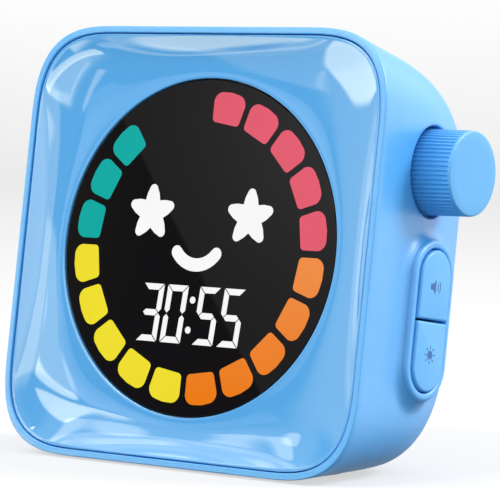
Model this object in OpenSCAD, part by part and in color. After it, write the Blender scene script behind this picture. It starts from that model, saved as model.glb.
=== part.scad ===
// Visual timer for a child: a leaning rounded-square case with a dished front, a round
// display, a push-and-turn knob and two push buttons on its right side.
// The body frame has x to the right, y from the front rim to the back and z up the face,
// with its origin at the centre of the display in the plane of the rim.
// stand() leans that frame back, so that the bottom wall lies level on the base pad.

/* [Case] */
// Outer width of the case at its front edge
case_w = 88.5; // [86:0.5:94]
// Outer height of the case at its front edge
case_h = 87.8; // [86:0.2:92]
// Depth of the case from the front rim to the rear face
case_depth = 42.4; // [41.5:0.1:48]
// Slope of the side walls towards the back, in degrees
side_draft = 4; // [3:0.25:4.5]
// Slope of the top and bottom walls, which is also the angle that the timer leans back
stand_draft = 7; // [6:0.25:8]
// Distance over which each corner of the case curves
corner_reach = 20.5; // [18:0.5:22]
// Squareness of the corner curve, where 2 is a circle
corner_power = 3; // [2.4:0.1:3.2]
// Growth of the corner curve for each millimetre that the back edge draws in
back_corner = 0.5; // [0:0.1:0.7]
// Depth over which the back edge of the sides and top rounds off
back_round = 25.5; // [20:0.5:27]
// How far the back edge draws in at the sides and top
back_draw = 7.8; // [7:0.1:9]
// Depth over which the back edge of the bottom rounds off
foot_round = 16; // [14:0.5:17]
// How far the back edge draws in at the bottom
foot_draw = 13.5; // [12:0.25:14]
// Thickness of the case walls
wall = 2.2; // [2:0.1:2.6]
// Width of the flat rim round the front
rim = 1.35; // [1.2:0.05:1.5]
// Radius of the small round on the outer front edge
rim_edge = 0.4; // [0.2:0.05:0.6]

/* [Bezel and display] */
// Depth of the display face behind the rim
dish_depth = 3.1; // [2.6:0.1:3.6]
// Gap of the seam between the rim and the bezel
seam_gap = 0.25; // [0.15:0.05:0.35]
// Thickness of the dished bezel
bezel_wall = 1.8; // [1.6:0.1:2.2]
// Depth of the bezel's skirt behind the rim
skirt_depth = 5.2; // [4.8:0.1:6]
// Diameter of the display lens
lens_d = 67.5; // [66:0.5:69]
// Thickness of the display lens
lens_t = 1.5; // [1.2:0.1:2]
// Step from the bezel down to the lens
lens_step = 0.35; // [0.2:0.05:0.5]
// Radial gap between the lens and its pocket
lens_gap = 0.15; // [0.1:0.05:0.2]
// Width of the ledge that carries the lens
ledge_w = 1.5; // [1.3:0.1:1.7]
// Thickness of the adhesive ring under the lens
tape_t = 0.3; // [0.2:0.05:0.4]
// Number of windows in the ring
ring_count = 20; // [16:1:22]
// Radius of the ring of windows, at their middles
ring_r = 28.15; // [27.6:0.05:28.4]
// Radial height of a ring window
ring_h = 6.2; // [5:0.1:6.4]
// Gap between two neighbouring ring windows
ring_gap = 1.4; // [1.2:0.1:2]
// Radius of a star to the middles of its round tips
star_r = 4.75; // [4:0.05:4.8]
// Radius of the star's round tips
star_tip = 1; // [0.8:0.05:1.05]
// Radius of a star at its inner corners
star_waist = 3.1; // [2.8:0.05:3.3]
// Distance of each star from the middle
star_x = 12.3; // [11.8:0.1:13]
// Height of the stars above the middle
star_z = 6.5; // [6:0.1:7]
// Radius of the smile's middle line
smile_r = 6.25; // [5.8:0.05:6.8]
// Width of the smile's stroke
smile_w = 2.65; // [2:0.05:2.8]
// Half of the angle that the smile spans, in degrees
smile_half = 52; // [42:1:56]
// Height of the lowest point of the smile's middle line
smile_z = -3.5; // [-4.2:0.1:-3]
// Height of a digit
digit_h = 11.6; // [10.5:0.1:12]
// Width of a digit between its outer edges
digit_w = 5.2; // [4.8:0.1:5.4]
// Width of a bar of a digit
digit_bar = 1.25; // [1.1:0.05:1.4]
// Distance from digit to digit
digit_pitch = 6.1; // [5.9:0.05:6.4]
// Extra distance between the middle digits, for the colon
colon_room = 2; // [1.8:0.1:2.4]
// Height of the middle of the digits
digit_z = -13.5; // [-14:0.1:-13]
// Slant of the digits, in degrees
digit_slant = 4.5; // [2:0.5:8]

/* [Boards] */
// Thickness of the circuit boards
board_t = 1.6; // [1.2:0.2:1.6]
// Depth of the light grid behind the diffuser
grid_t = 5.2; // [4.6:0.1:5.6]
// Radius of the round display board
display_board_r = 34; // [33:0.5:34.5]
// Distance of the display board's fixing screws from the middle, each way
corner_fix = 29.5; // [28.5:0.25:30]
// Gap between the main board's edge and the side board
board_room = 2; // [1:0.25:4]
// Height of the main board
main_board_h = 38; // [34:1:40]
// Length of the spacers between the boards
spacer_l = 8; // [7:0.5:9]

/* [Knob] */
// Depth of the knob and the buttons behind the rim
control_depth = 20.75; // [20.25:0.25:21]
// Height of the knob's axis above the middle of the display
knob_z = 18.65; // [18:0.05:19.2]
// Diameter of the knob at its base
knob_d = 16.9; // [16.6:0.1:17.4]
// Diameter of the knob at its outer end
knob_end_d = 16.7; // [16.2:0.1:16.9]
// How far the knob stands out from the side wall
knob_out = 8.9; // [8:0.1:9.5]
// Number of ribs round the knob
knob_ribs = 58; // [48:1:60]
// Height of a rib
rib_h = 0.35; // [0.2:0.05:0.45]
// Radial gap between the knob and its well
knob_gap = 0.6; // [0.5:0.05:0.8]
// Depth of the well from the side wall to its floor
well_depth = 6.8; // [6.4:0.1:7]
// How far the knob's base sits inside the well
knob_sink = 1.2; // [0.9:0.1:1.6]
// Travel of the knob when it is pushed
knob_push = 0.5; // [0.3:0.05:0.6]
// Diameter of the encoder's shaft
shaft_d = 6; // [5.8:0.1:6.2]
// Running clearance round the shaft, on the radius
shaft_fit = 0.05; // [0.03:0.01:0.08]
// Side length of the encoder's body
encoder_side = 12; // [11.5:0.25:12.5]
// Depth of the encoder's body behind its mounting face
encoder_t = 6.5; // [6.2:0.1:7]
// Outer diameter of the encoder's threaded bush
bush_d = 7; // [6.8:0.1:7.2]
// Length of the threaded bush in front of the mounting face
bush_l = 6.6; // [6:0.1:6.8]

/* [Buttons] */
// Width of the pill that the two buttons form
pill_w = 10.1; // [9.7:0.1:10.5]
// Height of the pill
pill_h = 27.6; // [27:0.1:28.4]
// Height of the pill's middle above the middle of the display
pill_z = -10.35; // [-10.6:0.05:-9.8]
// Gap between the buttons and the raised rim
pill_gap = 0.35; // [0.25:0.05:0.4]
// Gap between the two buttons
pill_split = 0.5; // [0.4:0.05:0.7]
// Width of the raised rim round the pill
pill_band = 1.75; // [1.6:0.05:2.2]
// Width of the hollow fillet from the raised rim down to the side wall
pill_fillet = 3.2; // [2.6:0.1:3.6]
// Height of the raised rim above the side wall
pill_rise = 2.5; // [2.3:0.05:2.8]
// How far the buttons stand out of the raised rim
button_proud = 0.45; // [0.2:0.05:0.6]
// Travel of each button
button_push = 0.5; // [0.3:0.05:0.6]
// Width of the flange that keeps a button inside the wall
flange_w = 0.9; // [0.7:0.05:1]
// Diameter of each button's stem
stem_d = 3; // [2.6:0.1:3.4]

/* [Rear] */
// Width and height of the rear cover
cover_size = 47; // [45:0.5:48]
// Height of the cover's middle above the middle of the display
cover_z = 3; // [2:0.25:4]
// Thickness of the rear cover
cover_t = 2; // [1.8:0.1:2.2]
// Gap round the rear cover
cover_gap = 0.2; // [0.15:0.05:0.3]
// Width of the ledge under the rear cover
cover_ledge = 2.6; // [2.2:0.1:3]
// Distance of each cover screw from the middle, both ways
cover_fix = 17.5; // [17:0.25:18]
// Diameter of the loudspeaker
speaker_d = 28; // [26:0.5:29]
// Height of the loudspeaker's axis above the middle of the cover
speaker_rise = 4; // [3:0.25:5]
// Diameter of a hole in the loudspeaker's grille
grille_d = 1.5; // [1.2:0.1:1.6]
// Distance between the rings of grille holes
grille_pitch = 3; // [2.6:0.1:3.1]
// Height of the charging socket's middle, below the middle of the cover
socket_drop = 15; // [14:0.25:15.5]

/* [Base] */
// Width of the rubber base pad
pad_w = 54; // [46:1:56]
// Length of the base pad from front to back
pad_l = 21; // [19:0.5:21.5]
// Thickness of the base pad
pad_t = 1.2; // [1:0.1:1.4]
// How far the base pad stands below the case
pad_proud = 0.5; // [0.4:0.05:0.6]
// Distance from the front edge of the case to the middle of the pad
pad_mid = 14.75; // [14:0.25:15]
// Width of the battery cell
cell_w = 50; // [44:1:52]
// Length of the battery cell from front to back
cell_l = 18; // [16:0.5:18.5]
// Thickness of the battery cell
cell_t = 9; // [8:0.25:9.5]

/* [Hidden] */
$fn = 64;

// Points on each quarter of a ring, from a side to the top or bottom
quarter = 10;
// Clearance that lets cuts run past a face
past = 1;
// Depth to which one block of a piece runs into the next
join = 0.1;
half_w = case_w / 2;
half_h = case_h / 2;

// Depths behind the rim, from the front to the back
bezel_lip = 0.4;
lip_y = dish_depth - lens_step;
lens_back = dish_depth + lens_t;
ledge_y = lens_back + tape_t;
ledge_t = 1.2;
ledge_back = ledge_y + ledge_t;
film_t = 0.25;
film_y = lens_back;
grid_y = film_y + film_t;
display_board_y = grid_y + grid_t;
display_board_back = display_board_y + board_t;
main_board_y = display_board_back + spacer_l;
main_board_back = main_board_y + board_t;
gasket_t = 0.5;
gasket_w = 1.3;
lip_inset = 3.2;
lip_t = 1.5;
seat_y = skirt_depth + gasket_t;
back_wall = cover_t + 1.6;

// Radii round the display
lens_r = lens_d / 2;
pocket_r = lens_r + lens_gap;
ledge_r = pocket_r - ledge_w;
pocket_wall = 1.6;
dish_r = pocket_r + bezel_lip;
grid_gap = 0.2;
grid_r = ledge_r - grid_gap;

// Depths along the knob's axis, from the side wall inwards
wall_x = half_w - control_depth * tan(side_draft);
knob_tip = wall_x + knob_out;
knob_base = wall_x - knob_sink;
well_floor = wall_x - well_depth;
well_wall = 1.5;
encoder_face = well_floor - well_wall;
side_board_face = encoder_face - encoder_t;
main_board_w = 2 * (side_board_face - board_t - board_room);
well_r = knob_d / 2 + knob_gap;
bush_fit = 0.1;
washer_t = 0.5;
nut_t = 2;
nut_flats = 10;
knob_end_t = 1.5;
shaft_flat = 1.5;
plunger_t = 0.8;
plunger_r = 3.6;
hub_r = 4.7;
knob_cavity_r = 6.9;
hub_start = encoder_face + bush_l + knob_push + 0.8;
cavity_end = knob_tip - 3;

// Depths along the buttons' travel
rim_top = wall_x + pill_rise;
button_face = rim_top + button_proud;
flange_t = 1.3;
flange_gap = 0.15;
flange_top = inner_x(control_depth + pill_w / 2 + flange_w + 1) - flange_gap;
switch_t = 3.5;
switch_side = 6;
switch_face = side_board_face + switch_t;
plunger_show = 1.2;
plunger_in = 0.9;
button_plunger_r = 1.7;
plunger_fit = 0.1;
button_z = pill_h / 4;

// The pad and the battery lie level, so they are placed in the stand's own frame
front_y = -pad_mid;
floor_in = pad_proud + wall * cos(stand_draft);
floor_end = front_y + (case_depth - foot_round) / cos(stand_draft);
cell_gap = 1;
cell_room = 1.5;
cell_top = floor_in + cell_gap + cell_t;
cell_y = board_back_at(cell_top) + cell_room;

function draw_in(y, depth, amount) =
    let (t = min(1, max(0, (y - case_depth + depth) / depth)))
    amount * (1 - sqrt(1 - t * t));
function half_x(y) = half_w - y * tan(side_draft) - draw_in(y, back_round, back_draw);
function half_top(y) = half_h - y * tan(stand_draft) - draw_in(y, back_round, back_draw);
function half_foot(y) = half_h - y * tan(stand_draft) - draw_in(y, foot_round, foot_draw);
function inner_x(y) = half_x(y) - wall;
function reach_at(y) = corner_reach + back_corner * draw_in(y, back_round, back_draw);

// Where the leaning back of the display board is at a height above the table
function board_back_at(z) =
    display_board_back / cos(stand_draft) + half_h * sin(stand_draft) - pad_mid
    + (z - pad_proud - half_h * cos(stand_draft)) * tan(stand_draft);

// One corner of a ring, as distances along its two sides
function corner_a(k) = pow(cos(90 * k / (quarter - 1)), 2 / corner_power);
function corner_b(k) = pow(sin(90 * k / (quarter - 1)), 2 / corner_power);
function ring(hx, top, foot, reach) = concat(
    [for (k = [0:quarter - 1])
        [hx - reach + reach * corner_a(k), top - reach + reach * corner_b(k)]],
    [for (k = [0:quarter - 1])
        [reach - hx - reach * corner_b(k), top - reach + reach * corner_a(k)]],
    [for (k = [0:quarter - 1])
        [reach - hx - reach * corner_a(k), reach - foot - reach * corner_b(k)]],
    [for (k = [0:quarter - 1])
        [hx - reach + reach * corner_b(k), reach - foot - reach * corner_a(k)]]);

// The case's outline at a depth, drawn in by an inset, in the plane of the face
function outline(y, inset) =
    ring(half_x(y) - inset, half_top(y) - inset, half_foot(y) - inset, reach_at(y) - 0.8 * inset);
function case_ring(y, inset) = [for (p = outline(y, inset)) [p[0], y, p[1]]];

// The dished surface runs from the seam to a circle round the lens
seam_inset = rim + seam_gap;
dish_edge = 0.15;
function dish_y(s) = dish_edge + (lip_y - dish_edge) * (1 - pow(1 - s, 2.2));
function dish_ring(s, shift) =
    [for (p = outline(0, seam_inset))
        let (r = norm(p), f = 1 - s + s * dish_r / r)
        [p[0] * f, dish_y(s) + shift, p[1] * f]];
dish_steps = [0, 0.06, 0.14, 0.24, 0.36, 0.5, 0.66, 0.83, 1];

// A closed solid through rings that have the same number of points
module loft(rings) {
    n = len(rings[0]);
    last = len(rings) - 1;
    points = [for (r = rings) each r];
    front = [[for (i = [0:n - 1]) n - 1 - i]];
    back = [[for (i = [0:n - 1]) last * n + i]];
    sides = [for (j = [0:last - 1], i = [0:n - 1])
        let (a = j * n + i, d = j * n + (i + 1) % n)
        each [[a, d, d + n], [a, d + n, a + n]]];
    polyhedron(points = points, faces = concat(front, sides, back), convexity = 6);
}

// A plate that lies parallel to the face, between two depths
module slab(y0, y1) {
    translate([0, y1, 0])
        rotate([90, 0, 0])
            linear_extrude(height = y1 - y0) children();
}

// A shape drawn looking at the side wall, between two distances from the middle plane
module across(x0, x1) {
    translate([x0, 0, 0])
        rotate([90, 0, 90])
            linear_extrude(height = x1 - x0) children();
}

// A cylinder along the face's normal or along the side wall's
module post(y0, y1, r, x, z) {
    slab(y0, y1) translate([x, z]) circle(r = r);
}

module pin(x0, x1, r, y, z) {
    translate([x0, y, z])
        rotate([0, 90, 0]) cylinder(r = r, h = x1 - x0);
}

module block(x0, x1, y0, y1, z0, z1) {
    translate([x0, y0, z0]) cube([x1 - x0, y1 - y0, z1 - z0]);
}

// Leans the body frame back on the pad, whose middle is the origin
module stand() {
    translate([0, half_h * sin(stand_draft) - pad_mid, half_h * cos(stand_draft) + pad_proud])
        rotate([-stand_draft, 0, 0]) children();
}

module at_corners(x, z) {
    for (i = [-1, 1], j = [-1, 1]) translate([i * x, 0, j * z]) children();
}

// Outlines on the display

window_outer_r = 2.1;
window_inner_r = 0.9;
window_bulge = 0.2;
function arc(cx, cy, r, from, to, steps) =
    [for (i = [0:steps])
        let (a = from + (to - from) * i / steps) [cx + r * cos(a), cy + r * sin(a)]];
function window_points() =
    let (pitch = 180 / ring_count, h = ring_h / 2,
        side = ring_gap / 2 / cos(pitch),
        wo = (ring_r + h - window_outer_r) * tan(pitch) - side - window_outer_r,
        wi = (ring_r - h + window_inner_r) * tan(pitch) - side - window_inner_r)
    concat(arc(wo, h - window_outer_r, window_outer_r, 0, 84, 6),
        [[0, h + window_bulge]],
        arc(-wo, h - window_outer_r, window_outer_r, 96, 180, 6),
        arc(-wi, window_inner_r - h, window_inner_r, 184, 270, 4),
        arc(wi, window_inner_r - h, window_inner_r, 270, 356, 4));

// Ring window number i, counted clockwise from the top
module ring_window(i) {
    a = 360 * (i + 0.5) / ring_count;
    rotate(-a) translate([0, ring_r]) polygon(window_points());
}

tip_sweep = 62;
arm_bulge = 0.16;
function star_points() =
    [for (k = [0:4])
        let (a = 90 + 72 * k, w = [star_waist * cos(a + 36), star_waist * sin(a + 36)],
            v = [star_waist * cos(a - 36), star_waist * sin(a - 36)],
            tip = arc(star_r * cos(a), star_r * sin(a), star_tip, a - tip_sweep, a + tip_sweep, 6),
            m = (tip[0] + v) / 2, n = (tip[6] + w) / 2)
        each concat([m + arm_bulge * [cos(a - 90), sin(a - 90)]], tip,
            [n + arm_bulge * [cos(a + 90), sin(a + 90)], w])];

module star() {
    polygon(star_points());
}

module smile() {
    half = smile_w / 2;
    low = 270 - smile_half;
    high = 270 + smile_half;
    translate([0, smile_z + smile_r])
        polygon(concat(
            arc(0, 0, smile_r + half, low, high, 14),
            arc(smile_r * cos(high), smile_r * sin(high), half, high, high + 180, 6),
            arc(0, 0, smile_r - half, high, low, 14),
            arc(smile_r * cos(low), smile_r * sin(low), half, low - 180, low, 6)));
}

// Bars of a digit, numbered from the top clockwise with the middle one last
bar_gap = 0.13;
middle_h = digit_h / 2;
function flat_bar(z, s) =
    [[bar_gap, z], [digit_w - bar_gap, z], [digit_w - bar_gap - digit_bar, z - s * digit_bar],
        [bar_gap + digit_bar, z - s * digit_bar]];
function up_bar(x, s, z, t) =
    [[x, z - t * bar_gap], [x + s * digit_bar, z - t * (bar_gap + digit_bar)],
        [x + s * digit_bar, middle_h + t * (digit_bar / 2 + bar_gap)],
        [x + s * digit_bar / 2, middle_h + t * bar_gap],
        [x, middle_h + t * (digit_bar / 2 + bar_gap)]];
function middle_bar() =
    let (a = digit_bar / 2 + bar_gap, b = digit_bar + bar_gap, h = digit_bar / 2)
    [[a, middle_h], [b, middle_h + h], [digit_w - b, middle_h + h], [digit_w - a, middle_h],
        [digit_w - b, middle_h - h], [b, middle_h - h]];
bars = [flat_bar(digit_h, 1), up_bar(digit_w, -1, digit_h, 1), up_bar(digit_w, -1, 0, -1),
    flat_bar(0, -1), up_bar(0, 1, 0, -1), up_bar(0, 1, digit_h, 1), middle_bar()];
bar_mid = [[digit_w / 2, digit_h - digit_bar / 2], [digit_w - digit_bar / 2, digit_h * 0.75],
    [digit_w - digit_bar / 2, digit_h * 0.25], [digit_w / 2, digit_bar / 2],
    [digit_bar / 2, digit_h * 0.25], [digit_bar / 2, digit_h * 0.75], [digit_w / 2, middle_h]];

// Bars that are lit for 3, 0, 5 and 5
lit = [[1, 1, 1, 1, 0, 0, 1], [1, 1, 1, 1, 1, 1, 0], [1, 0, 1, 1, 0, 1, 1], [1, 0, 1, 1, 0, 1, 1]];
digit_edge = -(3 * digit_pitch + colon_room + digit_w) / 2;
function digit_x(d) = digit_edge + d * digit_pitch + (d > 1 ? colon_room : 0);
function slanted(p) = [p[0] + (p[1] - middle_h) * tan(digit_slant), p[1] - middle_h + digit_z];
function placed(d, p) = slanted([p[0] + digit_x(d), p[1]]);

module bar(d, b) {
    polygon([for (p = bars[b]) placed(d, p)]);
}

colon_r = 0.7;
colon_rise = 3;
colon_mid = digit_edge + 2 * digit_pitch - (digit_pitch - digit_w) / 2 + colon_room / 2;
module colon_dots() {
    for (s = [-1, 1])
        translate(slanted([colon_mid, middle_h + s * colon_rise])) circle(r = colon_r);
}

module lit_digits() {
    for (d = [0:3], b = [0:6]) if (lit[d][b] == 1) bar(d, b);
    colon_dots();
}

module unlit_digits() {
    for (d = [0:3], b = [0:6]) if (lit[d][b] == 0) bar(d, b);
}

module face() {
    for (s = [-1, 1]) translate([s * star_x, star_z]) star();
    smile();
}

// Numbers of the ring windows of each colour, clockwise from the top
fifth = floor(ring_count / 4);
module ring_windows(from, to) {
    for (i = [from:to]) ring_window(i);
}
module window_plates() {
    slab(dish_depth, lens_back) children();
}

// The case

pill_r = pill_w / 2;
module pill(grow) {
    translate([control_depth, pill_z]) {
        square([pill_w + 2 * grow, pill_h - pill_w], center = true);
        for (s = [-1, 1]) translate([0, s * (pill_h - pill_w) / 2]) circle(r = pill_r + grow);
    }
}

// Outer surface of the side wall at a depth and a height
function side_x(y, z) =
    let (reach = reach_at(y), edge = (z > 0 ? half_top(y) : half_foot(y)) - reach,
        over = max(0, abs(z) - edge) / reach)
    half_x(y) - reach * (1 - pow(1 - pow(over, corner_power), 1 / corner_power));

// Ring round the pill at a distance from its outline, as far out as a share of the way from
// the side wall to the top of the raised rim
function pill_ring(grow, share, drop) =
    let (s = (pill_h - pill_w) / 2, r = pill_r + grow, steps = 12)
    [for (end = [1, -1], i = [0:steps])
        let (a = 180 * i / steps - 90 * end, z = pill_z + end * s + r * cos(a),
            y = control_depth + r * sin(a), foot = side_x(y, z))
        [foot + share * (rim_top - drop - foot), y, z]];

// The rim is a bead with a flat top, and a hollow fillet leads down from it to the side wall
bead_drop = 0.6;
rim_inner = pill_gap + 0.8;
rim_outer = pill_gap + pill_band;
rim_end = rim_outer + pill_fillet;
rim_root_x = wall_x - 3 * wall;
module pill_rim_body() {
    root = [for (p = pill_ring(rim_end, 0, 0)) [rim_root_x, p[1], p[2]]];
    fillet = [for (t = [1, 0.85, 0.7, 0.55, 0.42, 0.3, 0.19, 0.09, 0])
        pill_ring(rim_outer + pill_fillet * t, pow(1 - t, 2.4), bead_drop)];
    bead = [for (a = [30, 60, 90])
        pill_ring(rim_outer - (rim_outer - rim_inner) * (1 - cos(a)), 1, bead_drop * (1 - sin(a)))];
    loft(concat([root], fillet, bead, [pill_ring(0, 1, 0)]));
}

boss_r = 3;
screw_r = 1.1;
cover_reach = 15;
thread_grip = 0.1;
module cover_outline(grow) {
    half = cover_size / 2 + grow;
    translate([0, cover_z]) polygon(ring(half, half, half, cover_reach + min(grow, 0)));
}
case_rows = concat([for (y = [1, 6, 12]) y],
    [for (t = [0, 0.16, 0.31, 0.45, 0.57, 0.68, 0.77, 0.85, 0.91, 0.955, 0.985, 1])
        case_depth - back_round * (1 - t)]);
cavity_rows = [for (t = [0, 0.2, 0.38, 0.54, 0.68, 0.8, 0.91, 1])
    case_depth - back_round + (back_round - back_wall) * t];

module case_skin() {
    loft(concat([case_ring(0, rim_edge), case_ring(0.3 * rim_edge, 0.3 * rim_edge)],
        [case_ring(rim_edge, 0)],
        [for (y = case_rows) if (y > rim_edge + 0.1) case_ring(y, 0)]));
}

module case_hollow() {
    loft([case_ring(-past, rim), case_ring(seat_y, rim)]);
    loft([case_ring(seat_y - 0.01, lip_inset), case_ring(seat_y + lip_t, lip_inset)]);
    loft(concat([case_ring(seat_y + lip_t - 0.01, wall)],
        [for (y = cavity_rows) case_ring(y, wall)]));
}

module knob_well() {
    pin(encoder_face, wall_x + past, well_r + well_wall, control_depth, knob_z);
}

boss_len = 7;
screw_len = 6;
module cover_bosses() {
    top = case_depth - cover_t;
    at_cover_screws() post(top - boss_len, top, boss_r, 0, 0);
}

// Places of the four screws of the rear cover
module at_cover_screws() {
    translate([0, 0, cover_z]) at_corners(cover_fix, cover_fix) children();
}

pad_corner = 5;
pocket_gap = 0.15;

module pad_outline(grow) {
    for (s = [-1, 1], t = [-1, 1])
        translate([s * (pad_w / 2 - pad_corner), t * (pad_l / 2 - pad_corner)])
            circle(r = pad_corner + grow);
    square([pad_w + 2 * grow, pad_l - 2 * pad_corner], center = true);
    square([pad_w - 2 * pad_corner, pad_l + 2 * grow], center = true);
}

module main_shell() {
    color([0.47, 0.73, 0.96])
        difference() {
            stand() {
                difference() {
                    union() {
                        case_skin();
                        pill_rim_body();
                    }
                    case_hollow();
                    slab(case_depth - cover_t, case_depth + past) cover_outline(cover_gap);
                    slab(case_depth - back_wall - past, case_depth) cover_outline(-cover_ledge);
                    shelf(cover_gap);
                }
                intersection() {
                    case_skin();
                    knob_well();
                }
                cover_bosses();
            }
            stand() {
                pin(well_floor, wall_x + 2 * past, well_r, control_depth, knob_z);
                pin(encoder_face - past, wall_x, bush_d / 2 + bush_fit, control_depth, knob_z);
                across(flange_top - past, rim_top + past) pill(pill_gap);
                at_cover_screws()
                    post(case_depth - head_t - screw_len - thread_end, case_depth,
                        screw_r - thread_grip, 0, 0);
            }
            translate([0, 0, -past])
                linear_extrude(height = past + pad_t) pad_outline(pocket_gap);
        }
}

// The bezel

skirt_t = 1.5;
tab_w = 9;
tab_t = 1.2;
tab_gap = 0.25;
tab_hook = 0.7;
hook_l = 1.3;
tab_place = 19;
fix_screw_r = 0.85;
board_boss_r = 3;
root = 0.5;
module bezel_tab(half) {
    y0 = lip_y - 0.2;
    y1 = seat_y + lip_t + join;
    out = half - lip_inset - tab_gap;
    for (s = [-1, 1]) {
        block(s * tab_place - tab_w / 2, s * tab_place + tab_w / 2, y0, y1 + hook_l,
            out - tab_t, out);
        block(s * tab_place - tab_w / 2, s * tab_place + tab_w / 2, y1, y1 + hook_l,
            out - tab_t, out + tab_hook);
    }
}

module front_bezel() {
    back_half = half_x(seat_y + lip_t + hook_l);
    low_half = half_top(seat_y + lip_t + hook_l);
    color([0.42, 0.72, 0.95]) stand() {
        difference() {
            union() {
                difference() {
                    loft(concat(
                        [for (i = [len(dish_steps) - 1:-1:0]) dish_ring(dish_steps[i], 0)],
                        [[for (p = outline(skirt_depth, seam_inset)) [p[0], skirt_depth, p[1]]]]));
                    difference() {
                        slab(0, skirt_depth + past)
                            polygon(outline(skirt_depth, seam_inset + skirt_t));
                        loft(concat([[for (p = outline(0, 0)) [p[0], -5, p[1]]]],
                            [[for (p = outline(0, 0)) [p[0], dish_edge + bezel_wall, p[1]]]],
                            [for (s = dish_steps) dish_ring(s, bezel_wall)]));
                        slab(0, skirt_depth + 2 * past) circle(r = pocket_r + pocket_wall);
                    }
                }
                slab(lip_y + root, ledge_back) circle(r = pocket_r + pocket_wall);
                at_corners(corner_fix, corner_fix)
                    post(lip_y + root + join, display_board_y, board_boss_r, 0, 0);
                bezel_tab(low_half);
                mirror([0, 0, 1]) bezel_tab(low_half);
                rotate([0, 90, 0]) bezel_tab(back_half);
                rotate([0, -90, 0]) bezel_tab(back_half);
            }
            slab(-past, ledge_y) circle(r = pocket_r);
            slab(-past, ledge_back + past) circle(r = ledge_r);
            at_corners(corner_fix, corner_fix)
                post(ledge_back, display_board_y + past, fix_screw_r, 0, 0);
        }
    }
}

module bezel_gasket() {
    color([0.15, 0.15, 0.16]) stand()
        slab(skirt_depth, seat_y)
            difference() {
                polygon(outline(seat_y, seam_inset + 0.1));
                polygon(outline(seat_y, seam_inset + 0.1 + gasket_w));
            }
}

// The display

module display_lens() {
    bevel = 0.25;
    color([0.05, 0.05, 0.06]) stand()
        difference() {
            turned(0, 0) polygon([[0, dish_depth], [lens_r - bevel, dish_depth],
                [lens_r, dish_depth + bevel], [lens_r, lens_back], [0, lens_back]]);
            slab(dish_depth - past, lens_back + past) {
                ring_windows(0, ring_count - 1);
                face();
                lit_digits();
                unlit_digits();
            }
        }
}

module red_windows() {
    color([0.91, 0.33, 0.42]) stand() window_plates() ring_windows(0, fifth - 1);
}

module orange_windows() {
    color([0.97, 0.53, 0.12]) stand() window_plates() ring_windows(fifth, 2 * fifth - 1);
}

module yellow_windows() {
    color([0.97, 0.9, 0.2]) stand() window_plates() ring_windows(2 * fifth, 3 * fifth - 1);
}

module green_windows() {
    color([0.05, 0.69, 0.65]) stand() window_plates() ring_windows(3 * fifth, ring_count - 3);
}

module dark_windows() {
    color([0.1, 0.1, 0.11]) stand() window_plates() {
        ring_windows(ring_count - 2, ring_count - 1);
        unlit_digits();
    }
}

module face_windows() {
    color([0.97, 0.97, 0.97]) stand() window_plates() face();
}

module digit_windows() {
    color([0.97, 0.97, 0.97]) stand() window_plates() lit_digits();
}

module lens_adhesive() {
    margin = 0.15;
    color([0.2, 0.2, 0.2]) stand()
        slab(lens_back, ledge_y)
            difference() {
                circle(r = lens_r - margin);
                circle(r = ledge_r + margin);
            }
}

module diffuser_film() {
    color([0.93, 0.93, 0.9]) stand() post(film_y, grid_y, grid_r, 0, 0);
}

star_cell_r = star_r + star_tip + 0.2;
module light_grid() {
    color([0.95, 0.95, 0.95]) stand()
        slab(grid_y, display_board_y)
            difference() {
                circle(r = grid_r);
                ring_windows(0, ring_count - 1);
                for (s = [-1, 1]) translate([s * star_x, star_z]) circle(r = star_cell_r);
                smile();
                lit_digits();
                unlit_digits();
            }
}

board_hole = 0.3;
stud_r = 1;
ear_w = 8;
module display_board() {
    color([0.08, 0.3, 0.16]) stand()
        slab(display_board_y, display_board_back)
            difference() {
                union() {
                    circle(r = display_board_r);
                    for (a = [45, 135])
                        rotate(a) square([2 * sqrt(2) * corner_fix, ear_w], center = true);
                    for (i = [-1, 1], j = [-1, 1])
                        translate([i * corner_fix, j * corner_fix]) circle(d = ear_w);
                }
                for (i = [-1, 1], j = [-1, 1]) {
                    translate([i * corner_fix, j * corner_fix]) circle(r = fix_screw_r + board_hole);
                    translate([i * spacer_x, j * spacer_z]) circle(r = stud_r);
                }
            }
}

led_t = 1;
module led(x, z, w, h, a) {
    slab(display_board_y - led_t, display_board_y)
        translate([x, z]) rotate(a) square([w, h], center = true);
}

module segment_leds() {
    color([0.95, 0.93, 0.8]) stand()
        for (i = [0:ring_count - 1]) {
            a = 360 * (i + 0.5) / ring_count;
            led(ring_r * sin(a), ring_r * cos(a), 3, 2.4, -a);
        }
}

module face_leds() {
    color([0.95, 0.93, 0.8]) stand() {
        for (s = [-1, 1]) led(s * star_x, star_z, 3, 2.4, 0);
        led(0, smile_z, 2.4, 1.4, 0);
    }
}

module digit_leds() {
    chip = 0.8;
    color([0.95, 0.93, 0.8]) stand() {
        for (d = [0:3], b = [0:6]) {
            p = placed(d, bar_mid[b]);
            led(p[0], p[1], chip, chip, 0);
        }
        for (s = [-1, 1]) {
            p = slanted([colon_mid, middle_h + s * colon_rise]);
            led(p[0], p[1], chip, chip, 0);
        }
    }
}

screw_head_r = 1.9;
screw_head_t = 1.2;
module board_screw(y, length, r, x, z) {
    difference() {
        post(y, y + screw_head_t, screw_head_r, x, z);
        slab(y + screw_head_t / 2, y + screw_head_t + past) translate([x, z]) cross_slot();
    }
    post(y - length, y, r, x, z);
}

module cross_slot() {
    for (a = [0, 90]) rotate(a) square([2.2, 0.5], center = true);
}

module display_board_screws() {
    fix_screw_l = 5;
    color([0.75, 0.75, 0.77]) stand()
        at_corners(corner_fix, corner_fix)
            board_screw(display_board_back, fix_screw_l, fix_screw_r, 0, 0);
}

// The boards behind the display

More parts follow.
